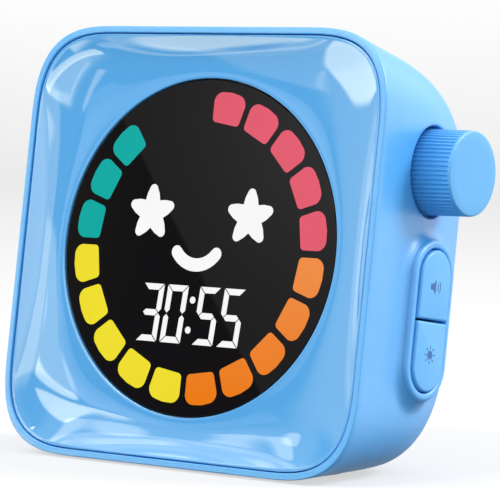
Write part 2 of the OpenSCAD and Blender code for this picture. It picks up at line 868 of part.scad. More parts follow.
spacer_edge = 3;
spacer_x = main_board_w / 2 - spacer_edge;
spacer_z = main_board_h / 2 - spacer_edge;
spacer_screw_r = 1;
spacer_screw_l = 5;
module board_spacers() {
    color([0.8, 0.68, 0.35]) stand()
        at_corners(spacer_x, spacer_z) {
            difference() {
                slab(display_board_back, main_board_y) circle(r = 2.4, $fn = 6);
                post(main_board_y - spacer_screw_l + board_t, main_board_y + past, spacer_screw_r, 0, 0);
            }
            post(display_board_y, display_board_back, stud_r, 0, 0);
        }
}

module main_board() {
    color([0.08, 0.3, 0.16]) stand()
        slab(main_board_y, main_board_back)
            difference() {
                square([main_board_w, main_board_h], center = true);
                for (i = [-1, 1], j = [-1, 1])
                    translate([i * spacer_x, j * spacer_z]) circle(r = spacer_screw_r + board_hole);
            }
}

module main_board_screws() {
    color([0.75, 0.75, 0.77]) stand()
        at_corners(spacer_x, spacer_z)
            board_screw(main_board_back, spacer_screw_l, spacer_screw_r, 0, 0);
}

// Parts soldered to the main board, and the header that joins the two boards
plug_t = 3;
module chip(x, z, w, h, t) {
    block(x - w / 2, x + w / 2, main_board_back, main_board_back + t, z - h / 2, z + h / 2);
}
plug_edge = 7;
battery_plug = [plug_edge - main_board_w / 2, -9];
speaker_plug = [12, 9];
ribbon_plug = [main_board_w / 2 - plug_edge, 0];
header_w = 20;
header_h = 2.5;
module board_chips() {
    color([0.16, 0.16, 0.17]) stand() {
        chip(-4, 1, 10, 10, 1.4);
        chip(6, -6, 5, 5, 1);
        chip(-13, 8, 6, 6, 2.4);
        chip(battery_plug[0], battery_plug[1], 5, 4, plug_t);
        chip(speaker_plug[0], speaker_plug[1], 5, 4, plug_t);
        chip(ribbon_plug[0], ribbon_plug[1], 3, 9, plug_t);
        block(-header_w / 2, header_w / 2, display_board_back, main_board_y,
            -header_h / 2, header_h / 2);
    }
}

// The knob and its encoder

module turned(x, z) {
    translate([x, 0, z])
        rotate([-90, 0, 0]) rotate_extrude() children();
}

side_board_half = 7;
board_edge = 2;
module side_board() {
    color([0.08, 0.3, 0.16]) stand()
        block(side_board_face - board_t, side_board_face, control_depth - side_board_half,
            control_depth + side_board_half, pill_z - button_z - switch_side / 2 - board_edge,
            knob_z + encoder_side / 2 + board_edge);
}

chamber_floor = side_board_face + 1;
plunger_start = chamber_floor + knob_push + 0.1;
shaft_start = plunger_start + plunger_t;
shaft_tip = knob_tip - knob_end_t - 0.3;
shaft_r = shaft_d / 2;
module encoder_body() {
    half = encoder_side / 2;
    color([0.6, 0.61, 0.63]) stand()
        difference() {
            union() {
                block(side_board_face, encoder_face, control_depth - half, control_depth + half,
                    knob_z - half, knob_z + half);
                pin(encoder_face - 0.1, encoder_face + bush_l, bush_d / 2, control_depth, knob_z);
            }
            pin(chamber_floor, shaft_start + 0.1, plunger_r + 0.15, control_depth, knob_z);
            pin(chamber_floor, encoder_face + bush_l + past, shaft_r + shaft_fit, control_depth, knob_z);
        }
}

module encoder_plunger() {
    color([0.85, 0.85, 0.83]) stand()
        pin(plunger_start, shaft_start, plunger_r, control_depth, knob_z);
}

// A round bar with a flat along one side from flat_from to its end
module d_bar(x0, flat_from, x1, grow) {
    r = shaft_r + grow;
    difference() {
        pin(x0, x1, r, control_depth, knob_z);
        block(flat_from, x1 + past, control_depth - 2 * r, control_depth + 2 * r,
            knob_z + shaft_r - shaft_flat + grow, knob_z + 2 * r);
    }
}

module encoder_shaft() {
    color([0.72, 0.73, 0.75]) stand()
        d_bar(shaft_start, hub_start - 0.2, shaft_tip, 0);
}

module encoder_washer() {
    color([0.75, 0.75, 0.77]) stand()
        difference() {
            pin(well_floor, well_floor + washer_t, bush_d / 2 + 2.3, control_depth, knob_z);
            pin(well_floor - past, well_floor + past, bush_d / 2 + bush_fit, control_depth, knob_z);
        }
}

module encoder_nut() {
    start = well_floor + washer_t;
    color([0.75, 0.75, 0.77]) stand()
        difference() {
            across(start, start + nut_t)
                translate([control_depth, knob_z]) circle(d = nut_flats / cos(30), $fn = 6);
            pin(start - past, start + nut_t + past, bush_d / 2 + bush_fit / 2, control_depth, knob_z);
        }
}

// Outline of the ribbed barrel of the knob at its base
function rib_points() =
    [for (i = [0:knob_ribs - 1], j = [0:3])
        let (a = 360 * (i + [0.08, 0.3, 0.7, 0.92][j]) / knob_ribs,
            r = knob_d / 2 - (j == 0 || j == 3 ? rib_h : 0))
        [r * cos(a), r * sin(a)]];

knob_edge = 0.4;
module knob() {
    end_r = knob_end_d / 2 - rib_h / 2;
    grow = 0.03;
    color([0.55, 0.78, 0.98]) stand()
        difference() {
            union() {
                difference() {
                    union() {
                        translate([knob_base, control_depth, knob_z])
                            rotate([90, 0, 90])
                                linear_extrude(height = knob_tip - knob_edge - knob_base,
                                    scale = knob_end_d / knob_d) polygon(rib_points());
                        translate([knob_tip - knob_edge - 0.1, control_depth, knob_z])
                            rotate([0, 90, 0])
                                rotate_extrude()
                                    polygon([[0, 0], [end_r, 0], [end_r, 0.2],
                                        [end_r - 0.1, 0.38], [end_r - 0.3, knob_edge + 0.1],
                                        [0, knob_edge + 0.1]]);
                    }
                    pin(knob_base - past, cavity_end, knob_cavity_r, control_depth, knob_z);
                }
                pin(hub_start, cavity_end + 0.2, hub_r, control_depth, knob_z);
            }
            d_bar(hub_start - past, hub_start - 2 * past, knob_tip - knob_end_t, grow);
        }
}

// The buttons and their switches

module half_pill(s, grow) {
    difference() {
        pill(grow);
        translate([control_depth, pill_z - s * (pill_h - pill_split / 2)])
            square([2 * pill_w, 2 * pill_h], center = true);
    }
}

plunger_top = switch_face + plunger_show;
cap_t = 1.6;
cap_wall = 1.4;
module button(s) {
    flange_bottom = flange_top - flange_t;
    difference() {
        union() {
            across(flange_bottom, flange_top) half_pill(s, flange_w);
            across(flange_bottom, button_face) half_pill(s, 0);
        }
        across(flange_bottom - past, button_face - cap_t) button_hollow(s);
    }
    pin(plunger_top, button_face - cap_t + 0.1, stem_d / 2, control_depth, pill_z + s * button_z);
}

module button_hollow(s) {
    difference() {
        pill(-cap_wall);
        translate([control_depth, pill_z - s * (pill_h - pill_split / 2 - cap_wall)])
            square([2 * pill_w, 2 * pill_h], center = true);
    }
}

module volume_button() {
    color([0.55, 0.78, 0.98]) stand() button(1);
}

module light_button() {
    color([0.55, 0.78, 0.98]) stand() button(-1);
}

module button_plunger(s) {
    pin(switch_face - plunger_in, plunger_top, button_plunger_r, control_depth, pill_z + s * button_z);
}

module volume_plunger() {
    color([0.2, 0.2, 0.2]) stand() button_plunger(1);
}

module light_plunger() {
    color([0.2, 0.2, 0.2]) stand() button_plunger(-1);
}

module switch_housings() {
    half = switch_side / 2;
    deep = plunger_in + button_push + 0.2;
    color([0.25, 0.25, 0.26]) stand()
        for (s = [-1, 1]) {
            z = pill_z + s * button_z;
            difference() {
                block(side_board_face, switch_face, control_depth - half, control_depth + half,
                    z - half, z + half);
                pin(switch_face - deep, switch_face + past, button_plunger_r + plunger_fit,
                    control_depth, z);
            }
        }
}

// The base pad and the battery, which lie level

module base_pad() {
    color([0.2, 0.22, 0.25]) linear_extrude(height = pad_t) pad_outline(0);
}

tape_margin = 4;
module battery_tape() {
    color([0.85, 0.85, 0.8])
        block(tape_margin - cell_w / 2, cell_w / 2 - tape_margin, cell_y + cell_gap,
            floor_end - cell_room, floor_in, floor_in + cell_gap);
}

module battery_cell() {
    r = 2;
    z0 = floor_in + cell_gap;
    color([0.65, 0.67, 0.7])
        translate([-cell_w / 2, 0, 0])
            rotate([90, 0, 90])
                linear_extrude(height = cell_w) {
                    for (y = [cell_y + r, cell_y + cell_l - r], z = [z0 + r, z0 + cell_t - r])
                        translate([y, z]) circle(r = r);
                    translate([cell_y, z0 + r]) square([cell_l, cell_t - 2 * r]);
                    translate([cell_y + r, z0]) square([cell_l - 2 * r, cell_t]);
                }
}

// Turns a point of the body frame into the stand's own frame
function leaned(p) =
    [p[0], p[1] * cos(stand_draft) + p[2] * sin(stand_draft) + half_h * sin(stand_draft) - pad_mid,
        p[2] * cos(stand_draft) - p[1] * sin(stand_draft) + half_h * cos(stand_draft) + pad_proud];

// A lead is a round cord through its points, with each bend rounded off. Its sides are laid
// out round the cord from a direction that the cord never takes itself.
lead_d = 1.2;
lead_rise = 2.5;
lead_bend = 1.2;
lead_sides = 16;
function unit(v) = v / norm(v);
function rounded(p) =
    let (last = len(p) - 1)
    concat([p[0]],
        [for (i = [1:last - 1], t = [0:0.25:1])
            let (a = p[i] + lead_bend * unit(p[i - 1] - p[i]),
                b = p[i] + lead_bend * unit(p[i + 1] - p[i]))
            pow(1 - t, 2) * a + 2 * t * (1 - t) * p[i] + t * t * b],
        [p[last]]);
function heading(p, i) =
    let (last = len(p) - 1, a = p[max(i, 1)] - p[max(i, 1) - 1],
        b = p[min(i, last - 1) + 1] - p[min(i, last - 1)])
    unit(unit(a) + unit(b));
module lead(points, start) {
    path = rounded(points);
    loft([for (i = [0:len(path) - 1])
        let (t = heading(path, i), n = unit(cross(t, start)), m = cross(n, t))
        [for (k = [0:lead_sides - 1])
            let (a = 360 * k / lead_sides) path[i] + lead_d / 2 * (cos(a) * n + sin(a) * m)]]);
}

module battery_lead() {
    side = -cell_w / 2;
    climb = 8;
    drop = 6;
    mid_y = cell_y + cell_l / 2;
    mid_z = floor_in + cell_gap + cell_t / 2;
    plug_y = main_board_back + plug_t;
    color([0.75, 0.12, 0.1])
        lead([[side, mid_y, mid_z], [side - lead_rise, mid_y, mid_z],
            [side - lead_rise, mid_y, mid_z + climb],
            leaned([battery_plug[0], plug_y + lead_rise, battery_plug[1] - drop]),
            leaned([battery_plug[0], plug_y + lead_rise, battery_plug[1]]),
            leaned([battery_plug[0], plug_y, battery_plug[1]])], [-1, 1, 1]);
}

// The rear cover, the loudspeaker and the charging socket

speaker_r = speaker_d / 2;
speaker_z = cover_z + speaker_rise;
pad_ring_t = 0.8;
speaker_front = case_depth - cover_t - pad_ring_t;
speaker_t = 6.5;
speaker_back = speaker_front - speaker_t;
magnet_r = speaker_r - 6;
magnet_t = 2.5;
basket_r = magnet_r + 1.5;
frame_lip = 1.4;
frame_edge = 1.2;
cone_seat = 1.3;
cone_low = 3.2;
cone_t = 0.4;
module speaker() {
    color([0.3, 0.31, 0.33]) stand()
        turned(0, speaker_z)
            polygon([[0, speaker_back], [magnet_r, speaker_back], [magnet_r, speaker_back + magnet_t],
                [basket_r, speaker_back + magnet_t], [speaker_r, speaker_front - frame_lip],
                [speaker_r, speaker_front], [speaker_r - frame_edge, speaker_front],
                [speaker_r - frame_edge, speaker_front - cone_seat],
                [speaker_r - 2 * frame_edge, speaker_front - cone_seat],
                [magnet_r + frame_edge, speaker_front - cone_low], [0, speaker_front - cone_low]]);
}

module speaker_cone() {
    dome_r = 3;
    dome_rise = 0.7;
    edge_r = speaker_r - frame_edge - 0.2;
    edge = speaker_front - cone_seat;
    low = speaker_front - cone_low + cone_t;
    color([0.12, 0.12, 0.13]) stand()
        turned(0, speaker_z)
            polygon([[0, low + cone_t], [dome_r, low], [edge_r - frame_edge, edge], [edge_r, edge],
                [edge_r, edge + cone_t], [edge_r - frame_edge, edge + cone_t],
                [dome_r, low + cone_t], [0, low + cone_t + dome_rise]]);
}

module speaker_gasket() {
    gasket = 2;
    color([0.15, 0.15, 0.16]) stand()
        slab(speaker_front, case_depth - cover_t)
            translate([0, speaker_z])
                difference() {
                    circle(r = speaker_r);
                    circle(r = speaker_r - gasket);
                }
}

module speaker_lead() {
    x0 = magnet_r - 1;
    plug_y = main_board_back + plug_t;
    color([0.1, 0.1, 0.12])
        lead([for (p = [[x0, speaker_back, speaker_z], [x0, speaker_back - lead_rise, speaker_z],
            [speaker_plug[0], plug_y + lead_rise, speaker_plug[1]],
            [speaker_plug[0], plug_y, speaker_plug[1]]]) leaned(p)], [0, 0, 1]);
}

// A flat ribbon from the side board to its plug on the main board
module side_lead() {
    t = 0.3;
    width = 7;
    x0 = ribbon_plug[0];
    x1 = side_board_face - board_t;
    y0 = main_board_back + plug_t;
    rise = 1.5;
    color([0.85, 0.85, 0.86]) stand()
        translate([0, 0, ribbon_plug[1] - width / 2])
            linear_extrude(height = width)
                polygon([[x0, y0], [x0 + t, y0], [x0 + t, y0 + rise - t], [x1, y0 + rise - t],
                    [x1, y0 + rise], [x0, y0 + rise]]);
}

socket_w = 8.94;
socket_h = 3.26;
socket_l = 7.3;
socket_wall = 0.35;
socket_fit = 0.2;
socket_z = cover_z - socket_drop;
socket_y = case_depth - 0.3;
usb_board_t = 1.2;
usb_board_top = socket_z - socket_h / 2;
shelf_half = 8;
shelf_t = 2.2;
shelf_l = 11;
shelf_y = case_depth - cover_t - shelf_l;
module socket_outline(grow) {
    r = socket_h / 2 + grow;
    translate([0, socket_z]) {
        square([socket_w - socket_h, 2 * r], center = true);
        for (s = [-1, 1]) translate([s * (socket_w - socket_h) / 2, 0]) circle(r = r);
    }
}

module usb_socket() {
    floor_t = 1;
    tongue_w = 6;
    tongue_t = 0.7;
    tongue_back = 1.5;
    color([0.75, 0.76, 0.78]) stand() {
        difference() {
            slab(socket_y - socket_l, socket_y) socket_outline(0);
            slab(socket_y - socket_l + floor_t, socket_y + past) socket_outline(-socket_wall);
        }
        block(-tongue_w / 2, tongue_w / 2, socket_y - socket_l + floor_t - join,
            socket_y - tongue_back, socket_z - tongue_t / 2, socket_z + tongue_t / 2);
    }
}

usb_screw_x = 5;
usb_screw_edge = 2.4;
usb_screw_y = shelf_y + usb_screw_edge;
usb_screw_l = 2.4;
usb_head_r = 1.6;
usb_head_t = 0.9;
board_end_gap = 0.3;
module usb_board() {
    color([0.08, 0.3, 0.16]) stand()
        difference() {
            block(-shelf_half, shelf_half, shelf_y, case_depth - cover_t - board_end_gap,
                usb_board_top - usb_board_t, usb_board_top);
            for (s = [-1, 1])
                translate([s * usb_screw_x, usb_screw_y, usb_board_top - usb_board_t - past])
                    cylinder(r = fix_screw_r + board_hole, h = usb_board_t + 2 * past);
        }
}

module usb_board_screws() {
    color([0.75, 0.75, 0.77]) stand()
        for (s = [-1, 1]) translate([s * usb_screw_x, usb_screw_y, usb_board_top]) {
            cylinder(r = usb_head_r, h = usb_head_t);
            translate([0, 0, -usb_screw_l]) cylinder(r = fix_screw_r, h = usb_screw_l);
        }
}

// Shelf on the inside of the cover, which carries the socket's board
module shelf(grow) {
    block(-shelf_half - grow, shelf_half + grow, shelf_y, case_depth - cover_t + join,
        usb_board_top - usb_board_t - shelf_t - grow, usb_board_top - usb_board_t + grow);
}

head_r = 2.1;
head_t = 1.2;
thread_end = 0.4;
grille_rings = 3;
module rear_cover() {
    color([0.47, 0.73, 0.96]) stand()
        difference() {
            union() {
                slab(case_depth - cover_t, case_depth) cover_outline(0);
                shelf(0);
            }
            at_cover_screws() {
                post(case_depth - cover_t - past, case_depth + past, screw_r + board_hole, 0, 0);
                post(case_depth - head_t, case_depth + past, head_r + board_hole, 0, 0);
            }
            post(case_depth - cover_t - past, case_depth + past, grille_d / 2, 0, speaker_z);
            for (k = [1:grille_rings], i = [0:6 * k - 1])
                post(case_depth - cover_t - past, case_depth + past, grille_d / 2,
                    k * grille_pitch * cos(60 * i / k), speaker_z + k * grille_pitch * sin(60 * i / k));
            slab(case_depth - cover_t - past, case_depth + past) socket_outline(socket_fit);
            for (s = [-1, 1])
                translate([s * usb_screw_x, usb_screw_y, usb_board_top - usb_screw_l - thread_end])
                    cylinder(r = fix_screw_r, h = shelf_t);
        }
}

module rear_cover_screws() {
    y = case_depth - head_t;
    color([0.75, 0.75, 0.77]) stand()
        at_cover_screws() {
            difference() {
                post(y, case_depth, head_r, 0, 0);
                slab(case_depth - head_t / 2, case_depth + past) cross_slot();
            }
            post(y - screw_len, y, screw_r - thread_grip, 0, 0);
        }
}

main_shell();
front_bezel();
bezel_gasket();
display_lens();
red_windows();
orange_windows();
yellow_windows();
green_windows();
dark_windows();
face_windows();
digit_windows();
lens_adhesive();
diffuser_film();
light_grid();
display_board();
segment_leds();
face_leds();
digit_leds();
display_board_screws();
board_spacers();
main_board();
board_chips();
main_board_screws();
side_board();
encoder_body();
encoder_plunger();
encoder_shaft();
encoder_washer();
encoder_nut();
knob();
switch_housings();
volume_button();
volume_plunger();
light_button();
light_plunger();
battery_cell();
battery_tape();
battery_lead();
speaker();
speaker_cone();
speaker_gasket();
speaker_lead();
side_lead();
rear_cover();
rear_cover_screws();
usb_socket();
usb_board();
usb_board_screws();
base_pad();
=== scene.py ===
import math

import bmesh
import bpy
from mathutils import Matrix, Vector
from mathutils.geometry import delaunay_2d_cdt


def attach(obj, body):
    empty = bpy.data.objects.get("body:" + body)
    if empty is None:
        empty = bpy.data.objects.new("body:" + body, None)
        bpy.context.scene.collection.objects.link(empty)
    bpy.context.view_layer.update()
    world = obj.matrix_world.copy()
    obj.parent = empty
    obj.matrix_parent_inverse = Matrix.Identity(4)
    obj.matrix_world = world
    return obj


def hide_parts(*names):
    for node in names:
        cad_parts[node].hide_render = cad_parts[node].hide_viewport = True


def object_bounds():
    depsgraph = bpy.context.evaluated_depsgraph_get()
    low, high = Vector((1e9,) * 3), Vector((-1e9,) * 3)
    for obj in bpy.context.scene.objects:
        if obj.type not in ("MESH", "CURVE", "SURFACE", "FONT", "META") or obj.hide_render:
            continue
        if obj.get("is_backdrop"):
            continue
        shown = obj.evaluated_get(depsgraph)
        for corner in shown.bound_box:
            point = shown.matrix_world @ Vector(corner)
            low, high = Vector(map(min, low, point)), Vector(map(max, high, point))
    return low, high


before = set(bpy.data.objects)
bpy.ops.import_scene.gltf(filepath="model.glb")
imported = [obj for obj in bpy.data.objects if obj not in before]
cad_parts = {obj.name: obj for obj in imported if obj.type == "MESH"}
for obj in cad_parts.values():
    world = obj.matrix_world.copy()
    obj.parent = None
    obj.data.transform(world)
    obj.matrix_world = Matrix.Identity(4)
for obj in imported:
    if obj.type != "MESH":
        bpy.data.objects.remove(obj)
cad_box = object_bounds()

# The camera stands in front of the timer's right side, a little above its middle, where the
# photograph was taken from. It has a long lens and leans over by a degree and a half.
eye = Vector((0.36925, -0.48322, 0.07136))
aim = Vector((0.00844, -0.00003, 0.04347))
roll = math.radians(1.531)


def facing(place, target):
    """A matrix that puts a thing at a place and turns it towards a target."""
    way = (Vector(target) - Vector(place)).to_track_quat("-Z", "Y")
    return Matrix.Translation(place) @ way.to_matrix().to_4x4()


def add_object(name, data):
    made = bpy.data.objects.new(name, data)
    bpy.context.scene.collection.objects.link(made)
    return made


camera = add_object("camera", bpy.data.cameras.new("camera"))
camera.matrix_world = facing(eye, aim) @ Matrix.Rotation(roll, 4, "Z")
camera.data.lens = 218.99
camera.data.sensor_width = 36
camera.data.clip_start = 0.01
bpy.context.scene.camera = camera
bpy.context.scene.view_settings.view_transform = "Standard"


# The table is a pale sheet that curves up into the wall behind it, as in a photographer's
# cove. It is a diffuse white that the lens sees a little brighter, and it takes the shadow.
def linear(red, green, blue):
    values = [c / 255 for c in (red, green, blue)]
    return [c / 12.92 if c <= 0.04045 else ((c + 0.055) / 1.055) ** 2.4 for c in values] + [1]


def smooth(mesh, angle=35):
    mesh.shade_smooth()
    mesh.set_sharp_from_angle(angle=math.radians(angle))


def mesh_piece(name, mesh, angle=35):
    smooth(mesh, angle)
    return add_object(name, mesh)


def new_piece(name, points, faces):
    mesh = bpy.data.meshes.new(name)
    mesh.from_pydata(points, [], faces)
    mesh.update()
    return mesh_piece(name, mesh)


def fill(tree, node, sources):
    """Gives a node its inputs, by name or number: a socket is linked, all else is a value."""
    for key, source in sources.items():
        if isinstance(source, bpy.types.NodeSocket):
            tree.links.new(source, node.inputs[key])
        else:
            node.inputs[key].default_value = source


def add_node(tree, kind, sources, **settings):
    made = tree.nodes.new(kind)
    for setting, value in settings.items():
        setattr(made, setting, value)
    fill(tree, made, sources)
    return made.outputs


def maths(tree, operation, *sources):
    return add_node(tree, "ShaderNodeMath", dict(enumerate(sources)), operation=operation)[0]


def times(tree, first, second):
    return maths(tree, "MULTIPLY", first, second)


def object_place(tree):
    return add_node(tree, "ShaderNodeTexCoord", {})["Object"]


def new_material(name, values):
    """A material with plain values on its shader, its node tree and the shader itself."""
    material = bpy.data.materials.new(name)
    material.use_nodes = True
    shader = material.node_tree.nodes["Principled BSDF"]
    fill(material.node_tree, shader, values)
    return material, material.node_tree, shader


def sine(degrees):
    return math.sin(math.radians(degrees))


def dropped(degrees):
    """How far a rounding has dropped at an angle, as a share of its radius."""
    return 1 - math.cos(math.radians(degrees))


cove_half, cove_front, cove_back = 3.0, -2.0, 1.6
cove_round, cove_steps, cove_high = 0.8, 12, 2.6
cove_line = [(cove_front, 0), (cove_back, 0)]
for step in range(1, cove_steps + 1):
    angle = 90 * step / cove_steps
    cove_line.append((cove_back + cove_round * sine(angle), cove_round * dropped(angle)))
cove_line.append((cove_back + cove_round, cove_high))
cove_points = [(s * cove_half, y, z) for y, z in cove_line for s in (-1, 1)]
cove_faces = [(2 * i, 2 * i + 1, 2 * i + 3, 2 * i + 2) for i in range(len(cove_line) - 1)]
cove = new_piece("cove", cove_points, cove_faces)
cove_paper, tree, shader = new_material("cove_paper", {
    "Base Color": (0.34, 0.34, 0.34, 1), "Roughness": 0.9, "Specular IOR Level": 0,
    "Emission Color": (1, 1, 1, 1)})
height = add_node(tree, "ShaderNodeSeparateXYZ", {0: object_place(tree)})["Z"]
climb = add_node(tree, "ShaderNodeMapRange",
                 {"Value": height, "From Max": 0.2, "To Min": 0.61, "To Max": 0.76})["Result"]
path = add_node(tree, "ShaderNodeLightPath", {})
direct = maths(tree, "MAXIMUM", path["Is Camera Ray"], path["Is Glossy Ray"])
direct = maths(tree, "MAXIMUM", direct, path["Is Transmission Ray"])
fill(tree, shader, {"Emission Strength": times(tree, direct, climb)})
cove.data.materials.append(cove_paper)
cove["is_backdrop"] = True
cove.visible_glossy = False


# The light is an even white room with soft lamps. What the glossy parts mirror is drawn by
# direction: a dim room with bright soft boxes, which give the front its pale curved bands.
world = bpy.data.worlds.new("room")
bpy.context.scene.world = world
world.use_nodes = True


def new_group(name, inputs, outputs, kind="ShaderNodeTree"):
    """A node group of named sockets, with what its input node gives and its output node."""
    group = bpy.data.node_groups.new(name, kind)
    for way, sockets in (("INPUT", inputs), ("OUTPUT", outputs)):
        for label, socket in sockets.items():
            group.interface.new_socket(label, in_out=way, socket_type="NodeSocket" + socket)
    return group, group.nodes.new("NodeGroupInput").outputs, group.nodes.new("NodeGroupOutput")


def length(tree, first, second):
    squares = maths(tree, "ADD", times(tree, first, first), times(tree, second, second))
    return maths(tree, "SQRT", squares)


soft_box, given, result = new_group(
    "soft_box", dict.fromkeys(("Across", "Upward", "Middle Across", "Middle Upward", "Half Width",
                               "Half Height", "Turn", "Bend", "Corner", "Edge"), "Float"),
    {"Mask": "Float"})
east = maths(soft_box, "SUBTRACT", given["Across"], given["Middle Across"])
north = maths(soft_box, "SUBTRACT", given["Upward"], given["Middle Upward"])
turn = maths(soft_box, "RADIANS", given["Turn"])
cos_turn, sin_turn = maths(soft_box, "COSINE", turn), maths(soft_box, "SINE", turn)
u = maths(soft_box, "ADD", times(soft_box, east, cos_turn), times(soft_box, north, sin_turn))
v = maths(soft_box, "SUBTRACT", times(soft_box, north, cos_turn), times(soft_box, east, sin_turn))
v = maths(soft_box, "ADD", v, times(soft_box, given["Bend"], times(soft_box, u, u)))
beyond = []
for value, half in ((u, given["Half Width"]), (v, given["Half Height"])):
    over = maths(soft_box, "SUBTRACT", maths(soft_box, "ABSOLUTE", value), half)
    beyond.append(maths(soft_box, "MAXIMUM", maths(soft_box, "ADD", over, given["Corner"]), 0))
inside = maths(soft_box, "SUBTRACT", given["Corner"], length(soft_box, *beyond))
fade_from, fade_to = times(soft_box, given["Edge"], -0.5), times(soft_box, given["Edge"], 0.5)
fade = add_node(soft_box, "ShaderNodeMapRange",
                {"Value": inside, "From Min": fade_from, "From Max": fade_to},
                interpolation_type="SMOOTHSTEP")
fill(soft_box, result, {"Mask": fade["Result"]})

room = world.node_tree
direction = add_node(room, "ShaderNodeTexCoord", {})["Generated"]
ray = add_node(room, "ShaderNodeSeparateXYZ", {0: direction})
across = maths(room, "DEGREES", maths(room, "ARCTAN2", ray["X"], times(room, ray["Y"], -1)))
upward = maths(room, "DEGREES", maths(room, "ARCSINE", ray["Z"]))
# Middle across and upward, half width and height, turn, bend, corner, edge and brightness.
# Angles are degrees from straight ahead of the display and above the level.
boxes = [
    (-58.2, -9.3, 16.1, 13.5, 0, 0, 11, 1.2, 9),
    (-89.0, 3.4, 9, 1.4, 9, 0, 1.2, 3, 2.8),
    (-60, 5.5, 18.5, 8.5, 0, 0, 6, 5, 1.7),
    (-40.8, -6.5, 1.9, 10.8, 0, 0, 1, 1.5, 1.5),
    (-40.8, -21, 1.8, 3.2, 0, 0, 1.4, 2, 1.8),
    (-43, 26, 12, 11.5, 0, 0, 5, 6, 1.3),
    (9.5, 9.2, 25, 5.2, 0, 0, 2, 4, 3),
    (-20.2, -2.4, 16.2, 1.1, 30.5, 0, 1, 0.6, 8),
    (-26.0, 0.7, 6.5, 0.6, 53, 0, 0.5, 0.8, 2.5),
    (-14.4, 5.4, 7.5, 0.8, 3, 0, 0.7, 0.6, 3),
    (-31.4, 2.5, 4.4, 0.8, 76, 0, 0.7, 0.8, 4),
    (-41.5, 0.6, 3.2, 0.5, 80, 0, 0.4, 0.6, 2),
    (-26.9, 13.2, 8.8, 0.8, -4, 0.008, 0.7, 0.6, 9),
    (-19.6, 10.8, 16, 1.8, -1, 0, 0.8, 0.8, 4),
    (-40.6, 29.0, 8.6, 1.3, -65, 0, 1.2, 1, 5),
    (-46.5, 23.8, 5.5, 1.5, -67, -0.01, 1.4, 1, 5),
    (-46.2, 19.0, 2.6, 1.6, -80, 0, 1.4, 1, 5),
    (-48.2, 36.9, 4.0, 1.6, -45, 0, 1.4, 2, 4),
    (-53.5, 41.0, 5, 1.8, -35, 0, 1.6, 3, 1.4),
    (-46.5, 31.5, 5, 1.8, 0, 0, 1.6, 1.5, 3),
    (-69, 48.6, 5, 3, -20, 0, 2.5, 4, 5),
    (-39.5, -17.1, 5.5, 0.8, 38.7, 0, 0.7, 1, 3),
    (-35.5, -31.7, 24, 10, 46, 0, 1.2, 2.4, 7),
    (-38, 74, 70, 12, 0, 0, 8, 8, 9),
]


def boxed(box):
    """The mask of one soft box, whose sizes follow the two directions."""
    sources = {"Across": across, "Upward": upward, **dict(enumerate(box, 2))}
    return add_node(room, "ShaderNodeGroup", sources, node_tree=soft_box)["Mask"]


def overlap(*shapes):
    """The part of the room where several boxes lie over each other."""
    mask = boxed(shapes[0])
    for shape in shapes[1:]:
        mask = times(room, mask, boxed(shape))
    return mask


dim = overlap((-37, 8, 60, 22, -33, 0, 4, 6), (-37, 8, 60, 25.5, 45, 0, 4, 6))
core = boxed((-38, 8.5, 9, 8, 0, 0, 6, 6))
behind_low = boxed((140, 8, 44, 27, 0, 0, 15, 14))
behind_high = boxed((140, 36, 38, 18, 0, 0, 15, 14))
pane = boxed((-36.34, 9.4, 6, 2.2, -53, 0, 0, 0.15))
sky = times(room, boxed((-34.0, 12.5, 3, 3, 0, 0, 2, 7)), pane)
surround = maths(room, "MAXIMUM", maths(room, "MULTIPLY_ADD", ray["Z"], 1.1, 0.9), 0.1)
for mask, amount in ((dim, -0.85), (core, -0.68)):
    surround = times(room, surround, maths(room, "MULTIPLY_ADD", mask, amount, 1))
for mask, amount in ((behind_low, 0.8), (behind_high, 0.6), (pane, 0.875), (sky, 2.75)):
    surround = maths(room, "MULTIPLY_ADD", mask, amount, surround)
low_corner = overlap((-27.2, 19.5, 10.2, 4.4, 0, 0, 0.4, 0.6), (-31.8, 9.6, 30, 10, -28.4, 0, 0.5, 0.8))
high_corner = overlap((-17, -1.8, 18, 8, 0, 0, 0.4, 0.8), (-23.8, 5.1, 30, 8, 29.8, 0, 0.5, 0.8),
                      (-16.5, -10.4, 30, 15, 56.6, 0, 2.5, 4))
glow = maths(room, "MULTIPLY_ADD", high_corner, 3.5, times(room, low_corner, 9))
for box in boxes:
    glow = maths(room, "MULTIPLY_ADD", boxed(box[:8]), box[8], glow)
band_tint = (0.5, 0.46, 0.28)
bands = add_node(room, "ShaderNodeVectorMath", {0: band_tint, "Scale": glow}, operation="SCALE")[0]
dull = add_node(room, "ShaderNodeCombineXYZ", dict.fromkeys("XYZ", surround))[0]
mirror = add_node(room, "ShaderNodeVectorMath", {0: bands, 1: dull}, operation="ADD")[0]
path = add_node(room, "ShaderNodeLightPath", {})
for_lens, for_shade = 1, 0.76
even = maths(room, "MULTIPLY_ADD", path["Is Camera Ray"], for_lens - for_shade, for_shade)
plain = add_node(room, "ShaderNodeCombineXYZ", dict.fromkeys("XYZ", even))[0]
seen = add_node(room, "ShaderNodeMix", {0: path["Is Glossy Ray"], 4: plain, 5: mirror}, data_type="VECTOR")
fill(room, room.nodes["Background"], {"Color": seen[1]})


def add_lamp(name, place, size, power):
    """A square soft lamp turned towards the middle of the timer."""
    lamp = bpy.data.lights.new(name, "AREA")
    lamp.size = size
    lamp.energy = power
    add_object(name, lamp).matrix_world = facing(place, (0, 0, 0.04))


add_lamp("lamp_side", (0.85, 0.6, 0.75), 0.5, 11)
add_lamp("lamp_front", (-0.25, -0.9, 0.8), 0.6, 7)


